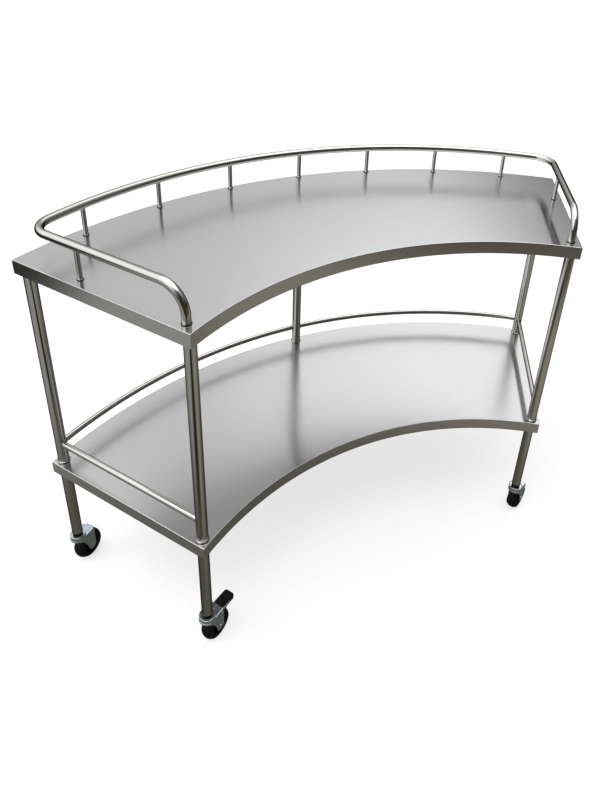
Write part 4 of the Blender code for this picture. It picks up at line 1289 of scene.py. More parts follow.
class TROLLEY_OT_balusters(bpy.types.Operator):
    """Makes the rods under the rail, as copies on points along it"""

    bl_idname = "trolley.balusters"
    bl_label = "Balusters"

    def execute(self, context):
        tube = tube_sizes()
        steel = finish("Polished stainless tube")
        side = side_point(tube.rail_side_inset, tube.side_run)
        points = [Vector((-side.x, side.y)), side]
        for number in range(-BALUSTERS_EACH_WAY, BALUSTERS_EACH_WAY + 1):
            angle = number * tube.pitch
            points.append(arc(rail_centre_y(), tube.rail_arc, angle, angle, 1)[0])
        places = [(over_top_shelf(p), (0.0, 0.0, -half_angle(p, rail_centre_y()))) for p in points]
        rods = repeated("balusters", baluster_mesh(), places, steel)
        nodes = [f"baluster_{number}" for number in range(1, len(places) + 1)]
        put("balusters", rods, steel, FRAME_BODY, nodes)
        return {"FINISHED"}


class TROLLEY_OT_legs(bpy.types.Operator):
    """Makes the tube legs with the rings at their feet"""

    bl_idname = "trolley.legs"
    bl_label = "Legs"

    def execute(self, context):
        tube = tube_sizes()
        steel = finish("Polished stainless tube")
        radius = tube.leg_radius
        inner = radius - tube.leg_wall
        edge = FINE_EDGE
        end = castor_shape().leg_end
        top = shelf_top("top_shelf") - sheet_sizes().sheet - SEAT_GAP
        foot = shelf_top("lower_shelf") + SEAT_GAP
        ring = tube.ring_height
        wide = radius + tube.ring_width
        profile = [
            (radius, top),
            (radius, foot + ring),
            (radius + tube.ring_width * 0.35, foot + ring * 0.85),
            (radius + tube.ring_width * 0.75, foot + ring * 0.55),
            (wide, foot + ring * 0.25),
            (wide, foot),
            (radius, foot),
            (radius, end + edge),
            (radius - edge, end),
            (inner + edge, end),
            (inner, end + edge),
            (inner, top),
        ]
        leg = turned("leg", profile, tube.sides, closed=True)
        mark_foot_shade(leg, foot, wide - FINE_EDGE)
        for key, point in post_places().items():
            name = LEGS[key]
            mesh = moved(leg, Matrix.Translation(point))
            put(f"leg_tube_{name}", mesh, steel, FRAME_BODY, [f"leg_{name}"])
        return {"FINISHED"}


def bead_ring(radius):
    """A small polished weld bead round a rod's end, about Z."""
    bead = tube_sizes().bead
    profile = []
    for step in range(BEAD_STEPS + 1):
        angle = math.pi / 2 - math.pi * step / BEAD_STEPS
        profile.append((radius + bead * math.cos(angle), bead * BEAD_STRETCH * math.sin(angle)))
    profile.append((radius - bead, -bead * BEAD_STRETCH))
    profile.append((radius - bead, bead * BEAD_STRETCH))
    return turned("weld bead", profile, BOLT_SIDES, closed=True)


class TROLLEY_OT_rods(bpy.types.Operator):
    """Makes the rods over the lower shelf, with their weld beads"""

    bl_idname = "trolley.rods"
    bl_label = "Lower rods"

    def execute(self, context):
        tube = tube_sizes()
        sheet = sheet_sizes()
        steel = finish("Polished stainless tube")
        posts = post_places()
        height = Vector((0.0, 0.0, shelf_top("lower_shelf") + tube.rod_height))
        arc_radius = sheet.rear_radius - tube.post_inset
        half = half_angle(posts["rr"] - to_frame(), rear_shift())
        gap = tube.leg_radius - ROD_SINK
        places = []
        for side, sign in (("left", -1.0), ("right", 1.0)):
            front = posts[f"f{side[0]}"] + height
            rear = posts[f"r{side[0]}"] + height
            along = (rear - front).normalized()
            ends = [front + along * gap, rear - along * gap]
            straight = swept(f"side rod {side}", ends, tube.rod_radius, steel)
            name = f"side_rod_{side}"
            put(f"{name}_bar", straight, steel, FRAME_BODY, [name])
            turn = along.to_track_quat("Z", "Y").to_euler()
            places += [(end, tuple(turn)) for end in ends]
            trim = gap / arc_radius
            curve = arc(rear_shift(), arc_radius, sign * trim, sign * (half - trim), RAIL_ARC_STEPS)
            points = [p.to_3d() + to_frame() + height for p in curve]
            bent = swept(f"rear rod {side}", points, tube.rod_radius, steel)
            name = f"rear_rod_{side}"
            put(f"{name}_bar", bent, steel, FRAME_BODY, [name])
            for end, following in ((points[0], points[1]), (points[-1], points[-2])):
                turn = (following - end).to_track_quat("Z", "Y").to_euler()
                places.append((end, tuple(turn)))
        beads = repeated("rod welds", bead_ring(tube.rod_radius), places, steel)
        put("rod_welds", beads, steel, FRAME_BODY)
        return {"FINISHED"}


# Castors. Each is drawn with its swivel axis at x = y = 0, the floor at z = 0 and its wheel at +X.


def plug_mesh():
    """The plastic plug in a leg's end, with a rounded flange under the tube."""
    tube = tube_sizes()
    castor = castor_sizes()
    top = castor_shape().leg_end - SEAT_GAP
    foot = top - castor.plug_flange
    plug = tube.leg_radius - tube.leg_wall - SEAT_GAP
    bore = castor.stem_radius + SEAT_GAP
    wide = tube.leg_radius
    profile = [
        (plug, top + castor.plug_length),
        (plug, top),
        (wide - FINE_EDGE, top),
        (wide, top - FINE_EDGE),
        (wide, foot + FINE_EDGE),
        (wide - FINE_EDGE, foot),
        (bore, foot),
        (bore, top + castor.plug_length),
    ]
    return turned("plug", profile, tube.sides, closed=True)


def chamfered_hexagon(name, corner, foot, top):
    """A nut's hexagon about Z, whose corners are turned down at both ends."""
    flat = corner * math.cos(math.pi / 6)
    proud = corner - flat
    hexagon = cylinder(name, corner, (0.0, 0.0, foot), (0.0, 0.0, top), 6)
    limit = turned(
        f"{name} chamfer",
        [
            (0.0, top + proud),
            (flat - FINE_EDGE, top + proud),
            (flat - FINE_EDGE, top),
            (corner + FINE_EDGE, top - proud / 2),
            (corner + FINE_EDGE, foot + proud / 2),
            (flat - FINE_EDGE, foot),
            (flat - FINE_EDGE, foot - proud),
            (0.0, foot - proud),
        ],
        BOLT_SIDES,
    )
    return combined(name, hexagon, [("INTERSECT", limit)])


def stem_mesh():
    """The stem with its nut, the raceway in the swivel ring and the rivet under the fork."""
    castor = castor_sizes()
    shape = castor_shape()
    nut_top = shape.leg_end - SEAT_GAP - castor.plug_flange - SEAT_GAP
    nut_foot = nut_top - castor.nut_height
    nut_middle = (nut_top + nut_foot) / 2
    race_radius = castor.ring_radius - castor.ring_wall - RUNNING_GAP
    race_foot = shape.top + SEAT_GAP
    race_top = race_foot + castor.race_height
    head_top = shape.top - castor.fork_sheet - SEAT_GAP
    head_foot = head_top - castor.king_pin_head_height
    profile = [
        (0.0, nut_top + castor.stem_reach),
        (castor.stem_radius, nut_top + castor.stem_reach),
        (castor.stem_radius, nut_middle),
        (castor.neck_radius, nut_middle),
        (castor.neck_radius, race_top + FINE_EDGE),
        (castor.neck_radius + FINE_EDGE, race_top),
        (race_radius, race_foot + castor.race_height / 2),
        (race_radius, race_foot),
        (castor.king_pin, race_foot),
        (castor.king_pin, head_top),
        (castor.king_pin_head, head_top),
        (castor.king_pin_head, head_top - castor.king_pin_head_height / 2),
        (castor.king_pin, head_foot),
        (0.0, head_foot),
    ]
    nut = chamfered_hexagon("stem nut", castor.nut_corners / 2, nut_foot, nut_top)
    return combined("stem", turned("stem", profile, tube_sizes().sides), [("UNION", nut)])


def channel(name, half_width, sheet, bend, top, foot, start, end):
    """An upside-down channel along X: two walls joined by a flat top with round bends."""
    bm = bmesh.new()
    weight = bm.edges.layers.float.new("bevel_weight_edge")
    section = [(half_width, foot), (half_width, top), (-half_width, top), (-half_width, foot)]
    verts = [bm.verts.new((start, y, z)) for y, z in section]
    edges = [bm.edges.new(pair) for pair in zip(verts, verts[1:])]
    step = bmesh.ops.extrude_edge_only(bm, edges=edges)
    moving = [item for item in step["geom"] if isinstance(item, bmesh.types.BMVert)]
    bmesh.ops.translate(bm, vec=(end - start, 0.0, 0.0), verts=moving)
    bm.normal_update()
    crown = next(face for face in bm.faces if abs(face.normal.z) > 0.5)
    if crown.normal.z < 0:
        bmesh.ops.reverse_faces(bm, faces=bm.faces)
    for edge in bm.edges:
        along_x = abs(edge.verts[0].co.x - edge.verts[1].co.x) > sheet
        if along_x and all(abs(vert.co.z - top) < sheet / 2 for vert in edge.verts):
            edge[weight] = 1.0
    mesh = bpy.data.meshes.new(name)
    bm.to_mesh(mesh)
    bm.free()
    obj = linked(name, mesh)
    fold = obj.modifiers.new("Bend", "BEVEL")
    fold.limit_method = "WEIGHT"
    fold.width = bend
    fold.segments = BEND_STEPS
    solid = obj.modifiers.new("Sheet", "SOLIDIFY")
    solid.thickness = sheet
    solid.offset = -1.0
    solid.use_even_offset = True
    return applied(obj)


def tangent_angle(point, centre, radius, side):
    """The angle on a circle at which a line from an outside point touches it, on one side."""
    away = point - centre
    return math.atan2(away.y, away.x) + side * math.acos(radius / away.length)


def circle_points(centre, radius, start, end, steps):
    """Points round a centre in X and Z, by the angle from +X."""
    angles = [start + (end - start) * step / steps for step in range(steps + 1)]
    return [centre + radius * Vector((math.cos(a), math.sin(a))) for a in angles]


def fork_outline():
    """The side of the fork in X and Z: flat top, upright rear, round end, arched front edge."""
    castor = castor_sizes()
    shape = castor_shape()
    axle = Vector((castor.trail, castor.wheel_radius))
    over = shape.top + castor.fork_sheet
    nose = Vector((-shape.nose, shape.top - castor.nose_depth))
    arch = Vector((castor.arch_run, nose.y))
    front_angle = tangent_angle(arch, axle, castor.fork_boss, 1.0) - math.tau
    points = [Vector((-shape.nose, over)), Vector((shape.rear, over))]
    points += circle_points(axle, castor.fork_boss, 0.0, front_angle, CURVE_STEPS)
    start = points[-1]
    for step in range(1, CURVE_STEPS + 1):
        t = step / CURVE_STEPS
        points.append(start * (1 - t) ** 2 + arch * 2 * t * (1 - t) + nose * t**2)
    return points


def fork_front():
    """The fork in plan: round in front, up to the nose's wall, and open-ended behind."""
    shape = castor_shape()
    radius = shape.nose - SEAT_GAP
    points = circle_points(Vector((0.0, 0.0)), radius, math.pi / 2, 1.5 * math.pi, 2 * CURVE_STEPS)
    rear = shape.rear + CUTTER_EXTRA
    return points + [Vector((rear, -radius)), Vector((rear, radius))]


def fork_nose():
    """The front of the pressing: a low wall that wraps round under the ring from arm to arm."""
    castor = castor_sizes()
    shape = castor_shape()
    outer = shape.nose
    inner = outer - castor.fork_sheet
    foot = shape.top - castor.nose_depth
    soft = castor.nose_rounding
    middle = Vector((outer - soft, shape.top - soft))
    rounded = circle_points(middle, soft, math.pi / 2, 0.0, BEND_STEPS)
    profile = [tuple(point) for point in rounded]
    profile += [(outer, foot), (inner, foot), (inner, shape.top)]
    wall = turned("nose", profile, WHEEL_SIDES, closed=True)
    reach = outer + CUTTER_EXTRA
    arm_start = -math.sqrt(outer**2 - shape.half_width**2)
    keep = box("nose front", (-reach, -reach, 0.0), (arm_start, reach, shape.top + CUTTER_EXTRA))
    return combined("nose", wall, [("INTERSECT", keep)])


def swivel_ring():
    """The ring on the fork: a flat top, with a bright half-round bead along its rim."""
    castor = castor_sizes()
    shape = castor_shape()
    outer = castor.ring_radius
    inner = outer - castor.ring_wall
    bead = castor.ring_bead
    foot = shape.top - castor.fork_sheet / 2
    flat = shape.top + castor.ring_height - bead
    rim = circle_points(Vector((outer - bead, flat)), bead, math.pi, 0.0, 2 * BEND_STEPS)
    profile = [tuple(point) for point in rim]
    profile += [(outer, foot), (inner, foot), (inner, flat - bead / 2), (inner + bead / 2, flat)]
    return turned("swivel ring", profile, WHEEL_SIDES, closed=True)


def across_bore(name, radius, x, z):
    reach = castor_shape().half_width + CUTTER_EXTRA
    ends = (x, -reach, z), (x, reach, z)
    return "DIFFERENCE", cylinder(name, radius + SEAT_GAP, *ends, BOLT_SIDES)


def fork_mesh(braked):
    """A pressed fork: a channel trimmed in side and plan, with its nose, swivel ring and bores."""
    castor = castor_sizes()
    brake = brake_sizes()
    shape = castor_shape()
    top = shape.top
    reach = shape.half_width + CUTTER_EXTRA
    body = channel(
        "fork",
        shape.half_width,
        castor.fork_sheet,
        castor.fork_bend,
        top,
        castor.wheel_radius - castor.fork_boss - CUTTER_EXTRA,
        -shape.nose - CUTTER_EXTRA,
        shape.rear + CUTTER_EXTRA,
    )
    steps = [
        ("INTERSECT", side_plate("fork outline", fork_outline(), 2 * reach)),
        ("INTERSECT", plate("fork front", fork_front(), 2 * (top + CUTTER_EXTRA))),
        ("UNION", fork_nose()),
        ("UNION", swivel_ring()),
        ("DIFFERENCE", cylinder(
            "king pin bore",
            castor.king_pin + RUNNING_GAP,
            (0.0, 0.0, top - CUTTER_EXTRA),
            (0.0, 0.0, top + CUTTER_EXTRA / 2),
            BOLT_SIDES,
        )),
        across_bore("axle bore", castor.axle_radius, castor.trail, castor.wheel_radius),
    ]
    if braked:
        steps.append(across_bore("pin bore", brake.pin_radius, brake.pin_run, shape.pin_height))
    else:
        middle = top - castor.fork_sheet / 2
        half = castor.tongue_sheet / 2
        steps.insert(2, ("UNION", box(
            "tongue",
            (shape.rear - CUTTER_EXTRA, -castor.tongue_half, middle - half),
            (shape.rear + castor.tongue_length, castor.tongue_half, middle + half),
        )))
    return combined("fork", body, steps, edge=PRESSED_EDGE)


def axle_mesh():
    """The axle bolt about Z: a domed head, the shank, and a nut with its end standing out."""
    castor = castor_sizes()
    face = castor_shape().half_width + SEAT_GAP
    head = castor.axle_head
    dome = castor.axle_head_height - DOME_FOOT
    profile = []
    for step in range(2 * BEND_STEPS + 1):
        angle = math.pi / 2 * step / (2 * BEND_STEPS)
        profile.append((head * math.sin(angle), face + DOME_FOOT + dome * math.cos(angle)))
    end = -face - castor.axle_nut_height - castor.axle_end
    profile += [
        (head, face),
        (castor.axle_radius, face),
        (castor.axle_radius, end + FINE_EDGE),
        (castor.axle_radius - FINE_EDGE, end),
        (0.0, end),
    ]
    nut = chamfered_hexagon("axle nut", castor.axle_nut, -face - castor.axle_nut_height, -face)
    return combined("axle", turned("axle", profile, BOLT_SIDES), [("UNION", nut)])


def hub_mesh():
    """The wheel's hard core about Z: a boss round the axle, a web and a rim, with eased edges."""
    castor = castor_sizes()
    half_boss = castor_shape().half_gap - RUNNING_GAP
    half_rim = castor.tyre_width / 2 - SEAT_GAP
    bore = castor.axle_radius + SEAT_GAP
    outer = castor.hub_radius
    rim = outer - castor.hub_rim
    web = castor.hub_web / 2
    boss = castor.hub_boss
    ease = HUB_EASE
    half = [
        (outer, half_rim - ease),
        (outer - ease, half_rim),
        (rim + ease, half_rim),
        (rim, half_rim - ease),
        (rim, web + ease),
        (rim - ease, web),
        (boss + ease, web),
        (boss, web + ease),
        (boss, half_boss - ease),
        (boss - ease, half_boss),
        (bore, half_boss),
    ]
    profile = [(radius, -height) for radius, height in half] + half[::-1]
    return turned("hub", profile, WHEEL_SIDES, closed=True)


def tyre_mesh():
    """The tyre about Z: a crowned tread, rounded shoulders and a shallow groove on each side."""
    castor = castor_sizes()
    half = castor.tyre_width / 2
    inner = castor.hub_radius + SEAT_GAP
    profile = []
    for step in range(-CROWN_STEPS, CROWN_STEPS + 1):
        across = step / CROWN_STEPS
        drop = castor.tyre_crown * abs(across) ** CROWN_POWER
        profile.append((castor.wheel_radius - drop, -across * half))
    depth = castor.wheel_radius - castor.tyre_crown - inner
    profile += [(inner + depth * share, -half * width) for share, width in TYRE_SIDE]
    profile += [(inner + depth * share, half * width) for share, width in reversed(TYRE_SIDE)]
    return turned("tyre", profile, TYRE_SIDES, closed=True)


def shoe_centre():
    """The shoe's middle in X and Z on the level lever; full travel just stops short of the tyre."""
    castor = castor_sizes()
    brake = brake_sizes()
    axle = Vector((castor.trail, castor.wheel_radius))
    pin = Vector((brake.pin_run, castor_shape().pin_height))
    reach = castor.wheel_radius + brake.shoe_radius + SEAT_GAP
    pressed = axle + reach * Vector((math.cos(brake.shoe_angle), math.sin(brake.shoe_angle)))
    return pin + Matrix.Rotation(brake.tilt + brake.travel, 2) @ (pressed - pin)


def lever_mesh():
    """The brake lever: a pressed channel, deep round the pin, with a shoe under it."""
    brake = brake_sizes()
    top = castor_shape().lever_top
    foot = top - brake.depth
    end = top - brake.end_depth
    over = top + brake.sheet
    outline = [
        Vector((brake.front, over)),
        Vector((brake.rear, over)),
        Vector((brake.rear, end)),
        Vector((brake.pin_run + brake.knee, foot)),
        Vector((brake.pin_run - brake.pin_head, foot)),
        Vector((brake.front, end)),
    ]
    body = channel(
        "lever",
        brake.half_width,
        brake.sheet,
        brake.bend,
        top,
        foot - CUTTER_EXTRA,
        brake.front - CUTTER_EXTRA,
        brake.rear + CUTTER_EXTRA,
    )
    shoe = shoe_centre()
    roof = top - brake.sheet / 2
    under = [Vector((shoe.x + brake.shoe_radius, roof)), Vector((shoe.x - brake.shoe_radius, roof))]
    under += circle_points(shoe, brake.shoe_radius, math.pi, math.tau, CURVE_STEPS)
    steps = [
        ("INTERSECT", side_plate("lever outline", outline, 2 * (brake.half_width + CUTTER_EXTRA))),
        ("UNION", side_plate("shoe", under, 2 * brake.shoe_half)),
        across_bore("lever bore", brake.pin_radius, brake.pin_run, castor_shape().pin_height),
    ]
    return combined("lever", body, steps, edge=LEVER_EDGE)


def rounded_rectangle(low_x, high_x, half_width, corner, steps):
    centres = [
        (high_x - corner, half_width - corner, 0.0),
        (low_x + corner, half_width - corner, math.pi / 2),
        (low_x + corner, corner - half_width, math.pi),
        (high_x - corner, corner - half_width, 1.5 * math.pi),
    ]
    points = []
    for x, y, start in centres:
        points += circle_points(Vector((x, y)), corner, start, start + math.pi / 2, steps)
    return points


def pad_mesh():
    """The foot pad, whose thick tip drops down behind the lever's end."""
    brake = brake_sizes()
    lever_top = castor_shape().lever_top
    low = lever_top + SEAT_GAP
    high = low + brake.pad_thickness
    tip = brake.rear + SEAT_GAP
    side = [
        Vector((brake.pad_front, low)),
        Vector((tip, low)),
        Vector((tip, low - brake.pad_drop)),
        Vector((brake.pad_rear, low - brake.pad_drop)),
        Vector((brake.pad_rear, high)),
        Vector((brake.pad_front, high)),
    ]
    body = side_plate("pad", side, 2 * (brake.pad_half + CUTTER_EXTRA))
    outline = rounded_rectangle(
        brake.pad_front - CUTTER_EXTRA, brake.pad_rear, brake.pad_half, brake.pad_corner, BEND_STEPS
    )
    plan = plate("pad plan", outline, 2 * CUTTER_EXTRA)
    plan.transform(Matrix.Translation((0.0, 0.0, lever_top)))
    return combined("pad", body, [("INTERSECT", plan)], edge=brake.pad_edge)


def pin_mesh():
    """The lever's pin about Z, with a low domed head at each end."""
    brake = brake_sizes()
    face = castor_shape().half_width + SEAT_GAP
    head = brake.pin_head
    high = brake.pin_head_height
    half = [
        (0.0, face + high),
        (head * 0.6, face + high * 0.92),
        (head * 0.9, face + high * 0.65),
        (head, face + high * 0.3),
        (head, face),
        (brake.pin_radius, face),
    ]
    mirrored = [(radius, -height) for radius, height in reversed(half)]
    return turned("pin", half + mirrored, BOLT_SIDES)


def across(x, z):
    """The move that lays a piece drawn about Z along the wheel's axle at this place."""
    return Matrix.Translation((x, 0.0, z)) @ Matrix.Rotation(math.pi / 2, 4, "X")


def tilted():
    """The turn about its pin that lets the lever's rear hang down to where it rests."""
    brake = brake_sizes()
    pin = Vector((brake.pin_run, 0.0, castor_shape().pin_height))
    turn = Matrix.Rotation(brake.tilt, 4, "Y")
    return Matrix.Translation(pin) @ turn @ Matrix.Translation(-pin)


def put_zinc(name, mesh, body, node):
    return put(name, mesh, finish("Zinc plated steel"), body, [node])


def put_black(name, mesh, body, node):
    return put(name, mesh, finish("Black plastic"), body, [node])


class TROLLEY_OT_castor_heads(bpy.types.Operator):
    """Makes the leg plugs and the castor stems"""

    bl_idname = "trolley.castor_heads"
    bl_label = "Plugs and stems"

    def execute(self, context):
        plug = plug_mesh()
        stem = stem_mesh()
        dark = finish("Dark steel with painted recess shade")
        for key in CASTORS:
            place = castor_place(key)
            put_black(f"plug_{key}", moved(plug, place), FRAME_BODY, f"leg_plug_{key}")
            nodes = [f"castor_stem_{key}"]
            put(f"stem_{key}", moved(stem, place), dark, FRAME_BODY, nodes)
        return {"FINISHED"}


class TROLLEY_OT_forks(bpy.types.Operator):
    """Makes the pressed forks with their axle bolts and lever pins"""

    bl_idname = "trolley.forks"
    bl_label = "Forks and axles"

    def execute(self, context):
        castor = castor_sizes()
        forks = {braked: fork_mesh(braked) for braked in (False, True)}
        axle = axle_mesh()
        pin = pin_mesh()
        axle_place = across(castor.trail, castor.wheel_radius)
        pin_place = across(brake_sizes().pin_run, castor_shape().pin_height)
        for key in CASTORS:
            place = castor_place(key)
            body = f"fork_{key}"
            fork = moved(forks[key in BRAKED], place)
            put_zinc(f"fork_press_{key}", fork, body, f"castor_fork_{key}")
            bolt = moved(axle, place @ axle_place)
            put_zinc(f"axle_bolt_{key}", bolt, body, f"castor_axle_{key}")
            if key in BRAKED:
                lever_pin = moved(pin, place @ pin_place)
                put_zinc(f"lever_pin_{key}", lever_pin, body, f"brake_pin_{key}")
        return {"FINISHED"}


class TROLLEY_OT_wheels(bpy.types.Operator):
    """Makes the wheels with their tyres"""

    bl_idname = "trolley.wheels"
    bl_label = "Wheels"

    def execute(self, context):
        castor = castor_sizes()
        hub = hub_mesh()
        tyre = tyre_mesh()
        rubber = finish("Black rubber")
        for key in CASTORS:
            place = castor_place(key) @ across(castor.trail, castor.wheel_radius)
            body = f"wheel_{key}"
            put_black(f"wheel_core_{key}", moved(hub, place), body, f"wheel_hub_{key}")
            nodes = [f"wheel_tyre_{key}"]
            put(f"tread_{key}", moved(tyre, place), rubber, body, nodes)
        return {"FINISHED"}


class TROLLEY_OT_brakes(bpy.types.Operator):
    """Makes the brake levers with their foot pads"""

    bl_idname = "trolley.brakes"
    bl_label = "Brakes"

    def execute(self, context):
        lever = lever_mesh()
        pad = pad_mesh()
        for key in BRAKED:
            place = castor_place(key) @ tilted()
            body = f"brake_{key}"
            put_zinc(f"lever_{key}", moved(lever, place), body, f"brake_lever_{key}")
            put_black(f"foot_pad_{key}", moved(pad, place), body, f"brake_pad_{key}")
        return {"FINISHED"}


class TROLLEY_OT_carried_finishes(bpy.types.Operator):
    """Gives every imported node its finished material"""

    bl_idname = "trolley.carried_finishes"
    bl_label = "Finishes of the packed nodes"

    def execute(self, context):
        slots = {row["node"]: row["material_slot"] for row in frame["record"]["subparts"]}
        for name, node in frame["nodes"].items():
            node.data.materials.clear()
            node.data.materials.append(finish(SLOT_FINISHES[slots[name]]))
        return {"FINISHED"}


# Stage


def flat_square(name, half, height):
    bm = bmesh.new()
    bmesh.ops.create_grid(bm, x_segments=1, y_segments=1, size=half)
    bmesh.ops.translate(bm, vec=(0.0, 0.0, height), verts=bm.verts)
    mesh = bpy.data.meshes.new(name)
    bm.to_mesh(mesh)
    bm.free()
    return mesh


def floor_material():
    """The pale floor: it takes the trolley's soft shadow, and is lifted to white for the camera."""
    material, tree, shader = new_finish("Pale floor")
    floor = finishes().floor
    cloud = add_group(tree, "Soft mottling", object_vector(tree), Scale=1.2)
    dimmed = tuple(value * FLOOR_DIMMED for value in floor)
    lighter = tuple(min(1.0, value * FLOOR_DIMMED + 0.005) for value in floor)
    tone = mix_colours(tree, dimmed, lighter, cloud.outputs["Mask"])
    tree.links.new(tone, shader.inputs["Base Color"])
    shader.inputs["Roughness"].default_value = 0.9
    shader.inputs["Specular IOR Level"].default_value = 0.0
    shader.inputs["Emission Color"].default_value = (1.0, 1.0, 1.0, 1.0)
    seen = tree.nodes.new("ShaderNodeLightPath").outputs["Is Camera Ray"]
    tree.links.new(maths(tree, "MULTIPLY", seen, FLOOR_LIFT), shader.inputs["Emission Strength"])
    return material


def glow_material(name):
    """A material that only shines. Returns it, its node tree and its emission node."""
    material = bpy.data.materials.new(name)
    material.use_nodes = True
    tree = material.node_tree
    tree.nodes.remove(tree.nodes["Principled BSDF"])
    glow = tree.nodes.new("ShaderNodeEmission")
    tree.links.new(glow.outputs["Emission"], tree.nodes["Material Output"].inputs["Surface"])
    return material, tree, glow


def distance_from(tree, split, centre, reach):
    """How far a place on the floor is from a centre, in reaches across and along."""
    ways = []
    for axis, middle, scale in zip("XY", centre, reach):
        offset = maths(tree, "SUBTRACT", split.outputs[axis], middle)
        ways.append(maths(tree, "DIVIDE", offset, scale))
    across_way, along_way = ways
    across_square = maths(tree, "MULTIPLY", across_way, across_way)
    return maths(tree, "SQRT", maths(tree, "MULTIPLY_ADD", along_way, along_way, across_square))


def painted_floor_reflection_material():
    """A painted floor reflection that glows and only the metal sees: khaki ahead, grey to the left, dark far off.
    """
    material, tree, glow = glow_material("Painted reflection of the floor")
    split = tree.nodes.new("ShaderNodeSeparateXYZ")
    tree.links.new(object_vector(tree), split.inputs["Vector"])
    left = spread(tree, split.outputs["X"], -0.7, -1.3)
    colour_now = mix_colours(tree, (0.30, 0.285, 0.235), (0.36, 0.355, 0.34), left)
    far_ahead = spread(tree, split.outputs["Y"], -1.25, -2.05)
    colour_now = mix_colours(tree, colour_now, (0.085, 0.074, 0.052), far_ahead)
    behind = spread(tree, split.outputs["Y"], 0.25, 0.75)
    colour_now = mix_colours(tree, colour_now, (0.030, 0.029, 0.026), behind)
    # A pale patch of painted reflection behind the trolley
    pale_behind = distance_from(tree, split, (-0.10, 0.90), (0.36, 0.36))
    past_pale = spread(tree, pale_behind, 0.8, 1.3)
    colour_now = mix_colours(tree, (0.70, 0.69, 0.68), colour_now, past_pale)
    # Painted shadow on the reflected floor where the camera stands
    painted_camera_shadow = distance_from(tree, split, (-0.71, -1.15), (0.38, 0.75))
    colour_now = mix_colours(tree, PAINTED_DARK_REFLECTION, colour_now, spread(tree, painted_camera_shadow, 0.45, 1.35))
    # Painted shadow of the trolley: the reflected floor dims towards its footprint
    under = distance_from(tree, split, (0.0, 0.0), (0.80, 0.42))
    shade = spread(tree, under, 0.7, 2.1, 0.36, 1.0)
    tree.links.new(colour_now, glow.inputs["Color"])
    tree.links.new(shade, glow.inputs["Strength"])
    return material


def dark_reflection_board(name, place, width, height):
    """A dark upright board that only the metal sees, to draw dark lines down the tubes as a painted reflection."""
    bm = bmesh.new()
    bmesh.ops.create_grid(bm, x_segments=1, y_segments=1, size=0.5)
    bmesh.ops.scale(bm, vec=(width, height, 1.0), verts=bm.verts)
    mesh = bpy.data.meshes.new(name)
    bm.to_mesh(mesh)
    bm.free()
    facing = Vector((-place[0], -place[1], 0.0)).to_track_quat("Z", "Y").to_matrix().to_4x4()
    mesh.transform(Matrix.Translation((place[0], place[1], height / 2)) @ facing)
    material, tree, glow = glow_material(name)
    glow.inputs["Color"].default_value = (*PAINTED_DARK_REFLECTION, 1.0)
    mesh.materials.append(material)
    return only_in_metal(linked(name, mesh))


def only_in_metal(obj):
    obj.visible_camera = False
    obj.visible_diffuse = False
    obj.visible_shadow = False
    obj.visible_transmission = False
    return obj


def studio_world():
    """Soft studio surroundings: window at the rear right, pale left and ceiling, dark front.

    The camera itself sees plain white past the floor's edge.
    """
    world = bpy.data.worlds.new("Studio")
    world.use_nodes = True
    tree = world.node_tree
    background = tree.nodes["Background"]
    way = tree.nodes.new("ShaderNodeTexCoord").outputs["Generated"]
    split = tree.nodes.new("ShaderNodeSeparateXYZ")
    tree.links.new(way, split.inputs["Vector"])
    level = spread(tree, split.outputs["Z"], 0.06, 0.42, SKY_LOW, SKY_MIDDLE)
    overhead = spread(tree, split.outputs["Z"], 0.74, 0.92, 0.0, SKY_OVERHEAD)
    leftward = maths(tree, "MULTIPLY", split.outputs["X"], -1.0)
    left_side = maths(
        tree,
        "MULTIPLY",
        spread(tree, leftward, 0.06, 0.40, 0.0, SKY_LEFT),
        spread(tree, split.outputs["Z"], 0.02, 0.16),
    )
    leaning = maths(tree, "MULTIPLY_ADD", split.outputs["Z"], -0.5, split.outputs["X"])
    right_side = spread(tree, leaning, 0.33, 0.52, 1.0, SKY_RIGHT_DIMMED)
    front = spread(tree, split.outputs["Y"], -0.75, -0.35, SKY_FRONT_DIMMED, 1.0)
    aim = tree.nodes.new("ShaderNodeVectorMath")
    aim.operation = "DOT_PRODUCT"
    aim.inputs[1].default_value = WINDOW_WAY
    tree.links.new(way, aim.inputs[0])
    window = spread(tree, aim.outputs["Value"], 0.910, 0.997, 0.0, WINDOW_LIGHT, smooth=False)
    around = maths(tree, "ADD", maths(tree, "ADD", level, left_side), window)
    around = maths(tree, "MULTIPLY", around, maths(tree, "MULTIPLY", right_side, front))
    total = maths(tree, "ADD", around, overhead)
    seen = tree.nodes.new("ShaderNodeLightPath").outputs["Is Camera Ray"]
    unseen = maths(tree, "MULTIPLY", total, maths(tree, "SUBTRACT", 1.0, seen))
    background.inputs["Color"].default_value = (1.0, 0.999, 0.997, 1.0)
    tree.links.new(maths(tree, "ADD", unseen, seen), background.inputs["Strength"])
    return world


def softbox(name, place, target, size, power):
    light = bpy.data.lights.new(name, "AREA")
    light.shape = "RECTANGLE"
    light.size, light.size_y = size
    light.energy = power
    obj = linked(name, light)
    obj.location = place
    obj.rotation_euler = (Vector(target) - Vector(place)).to_track_quat("-Z", "Y").to_euler()
    obj.visible_glossy = False
    return obj


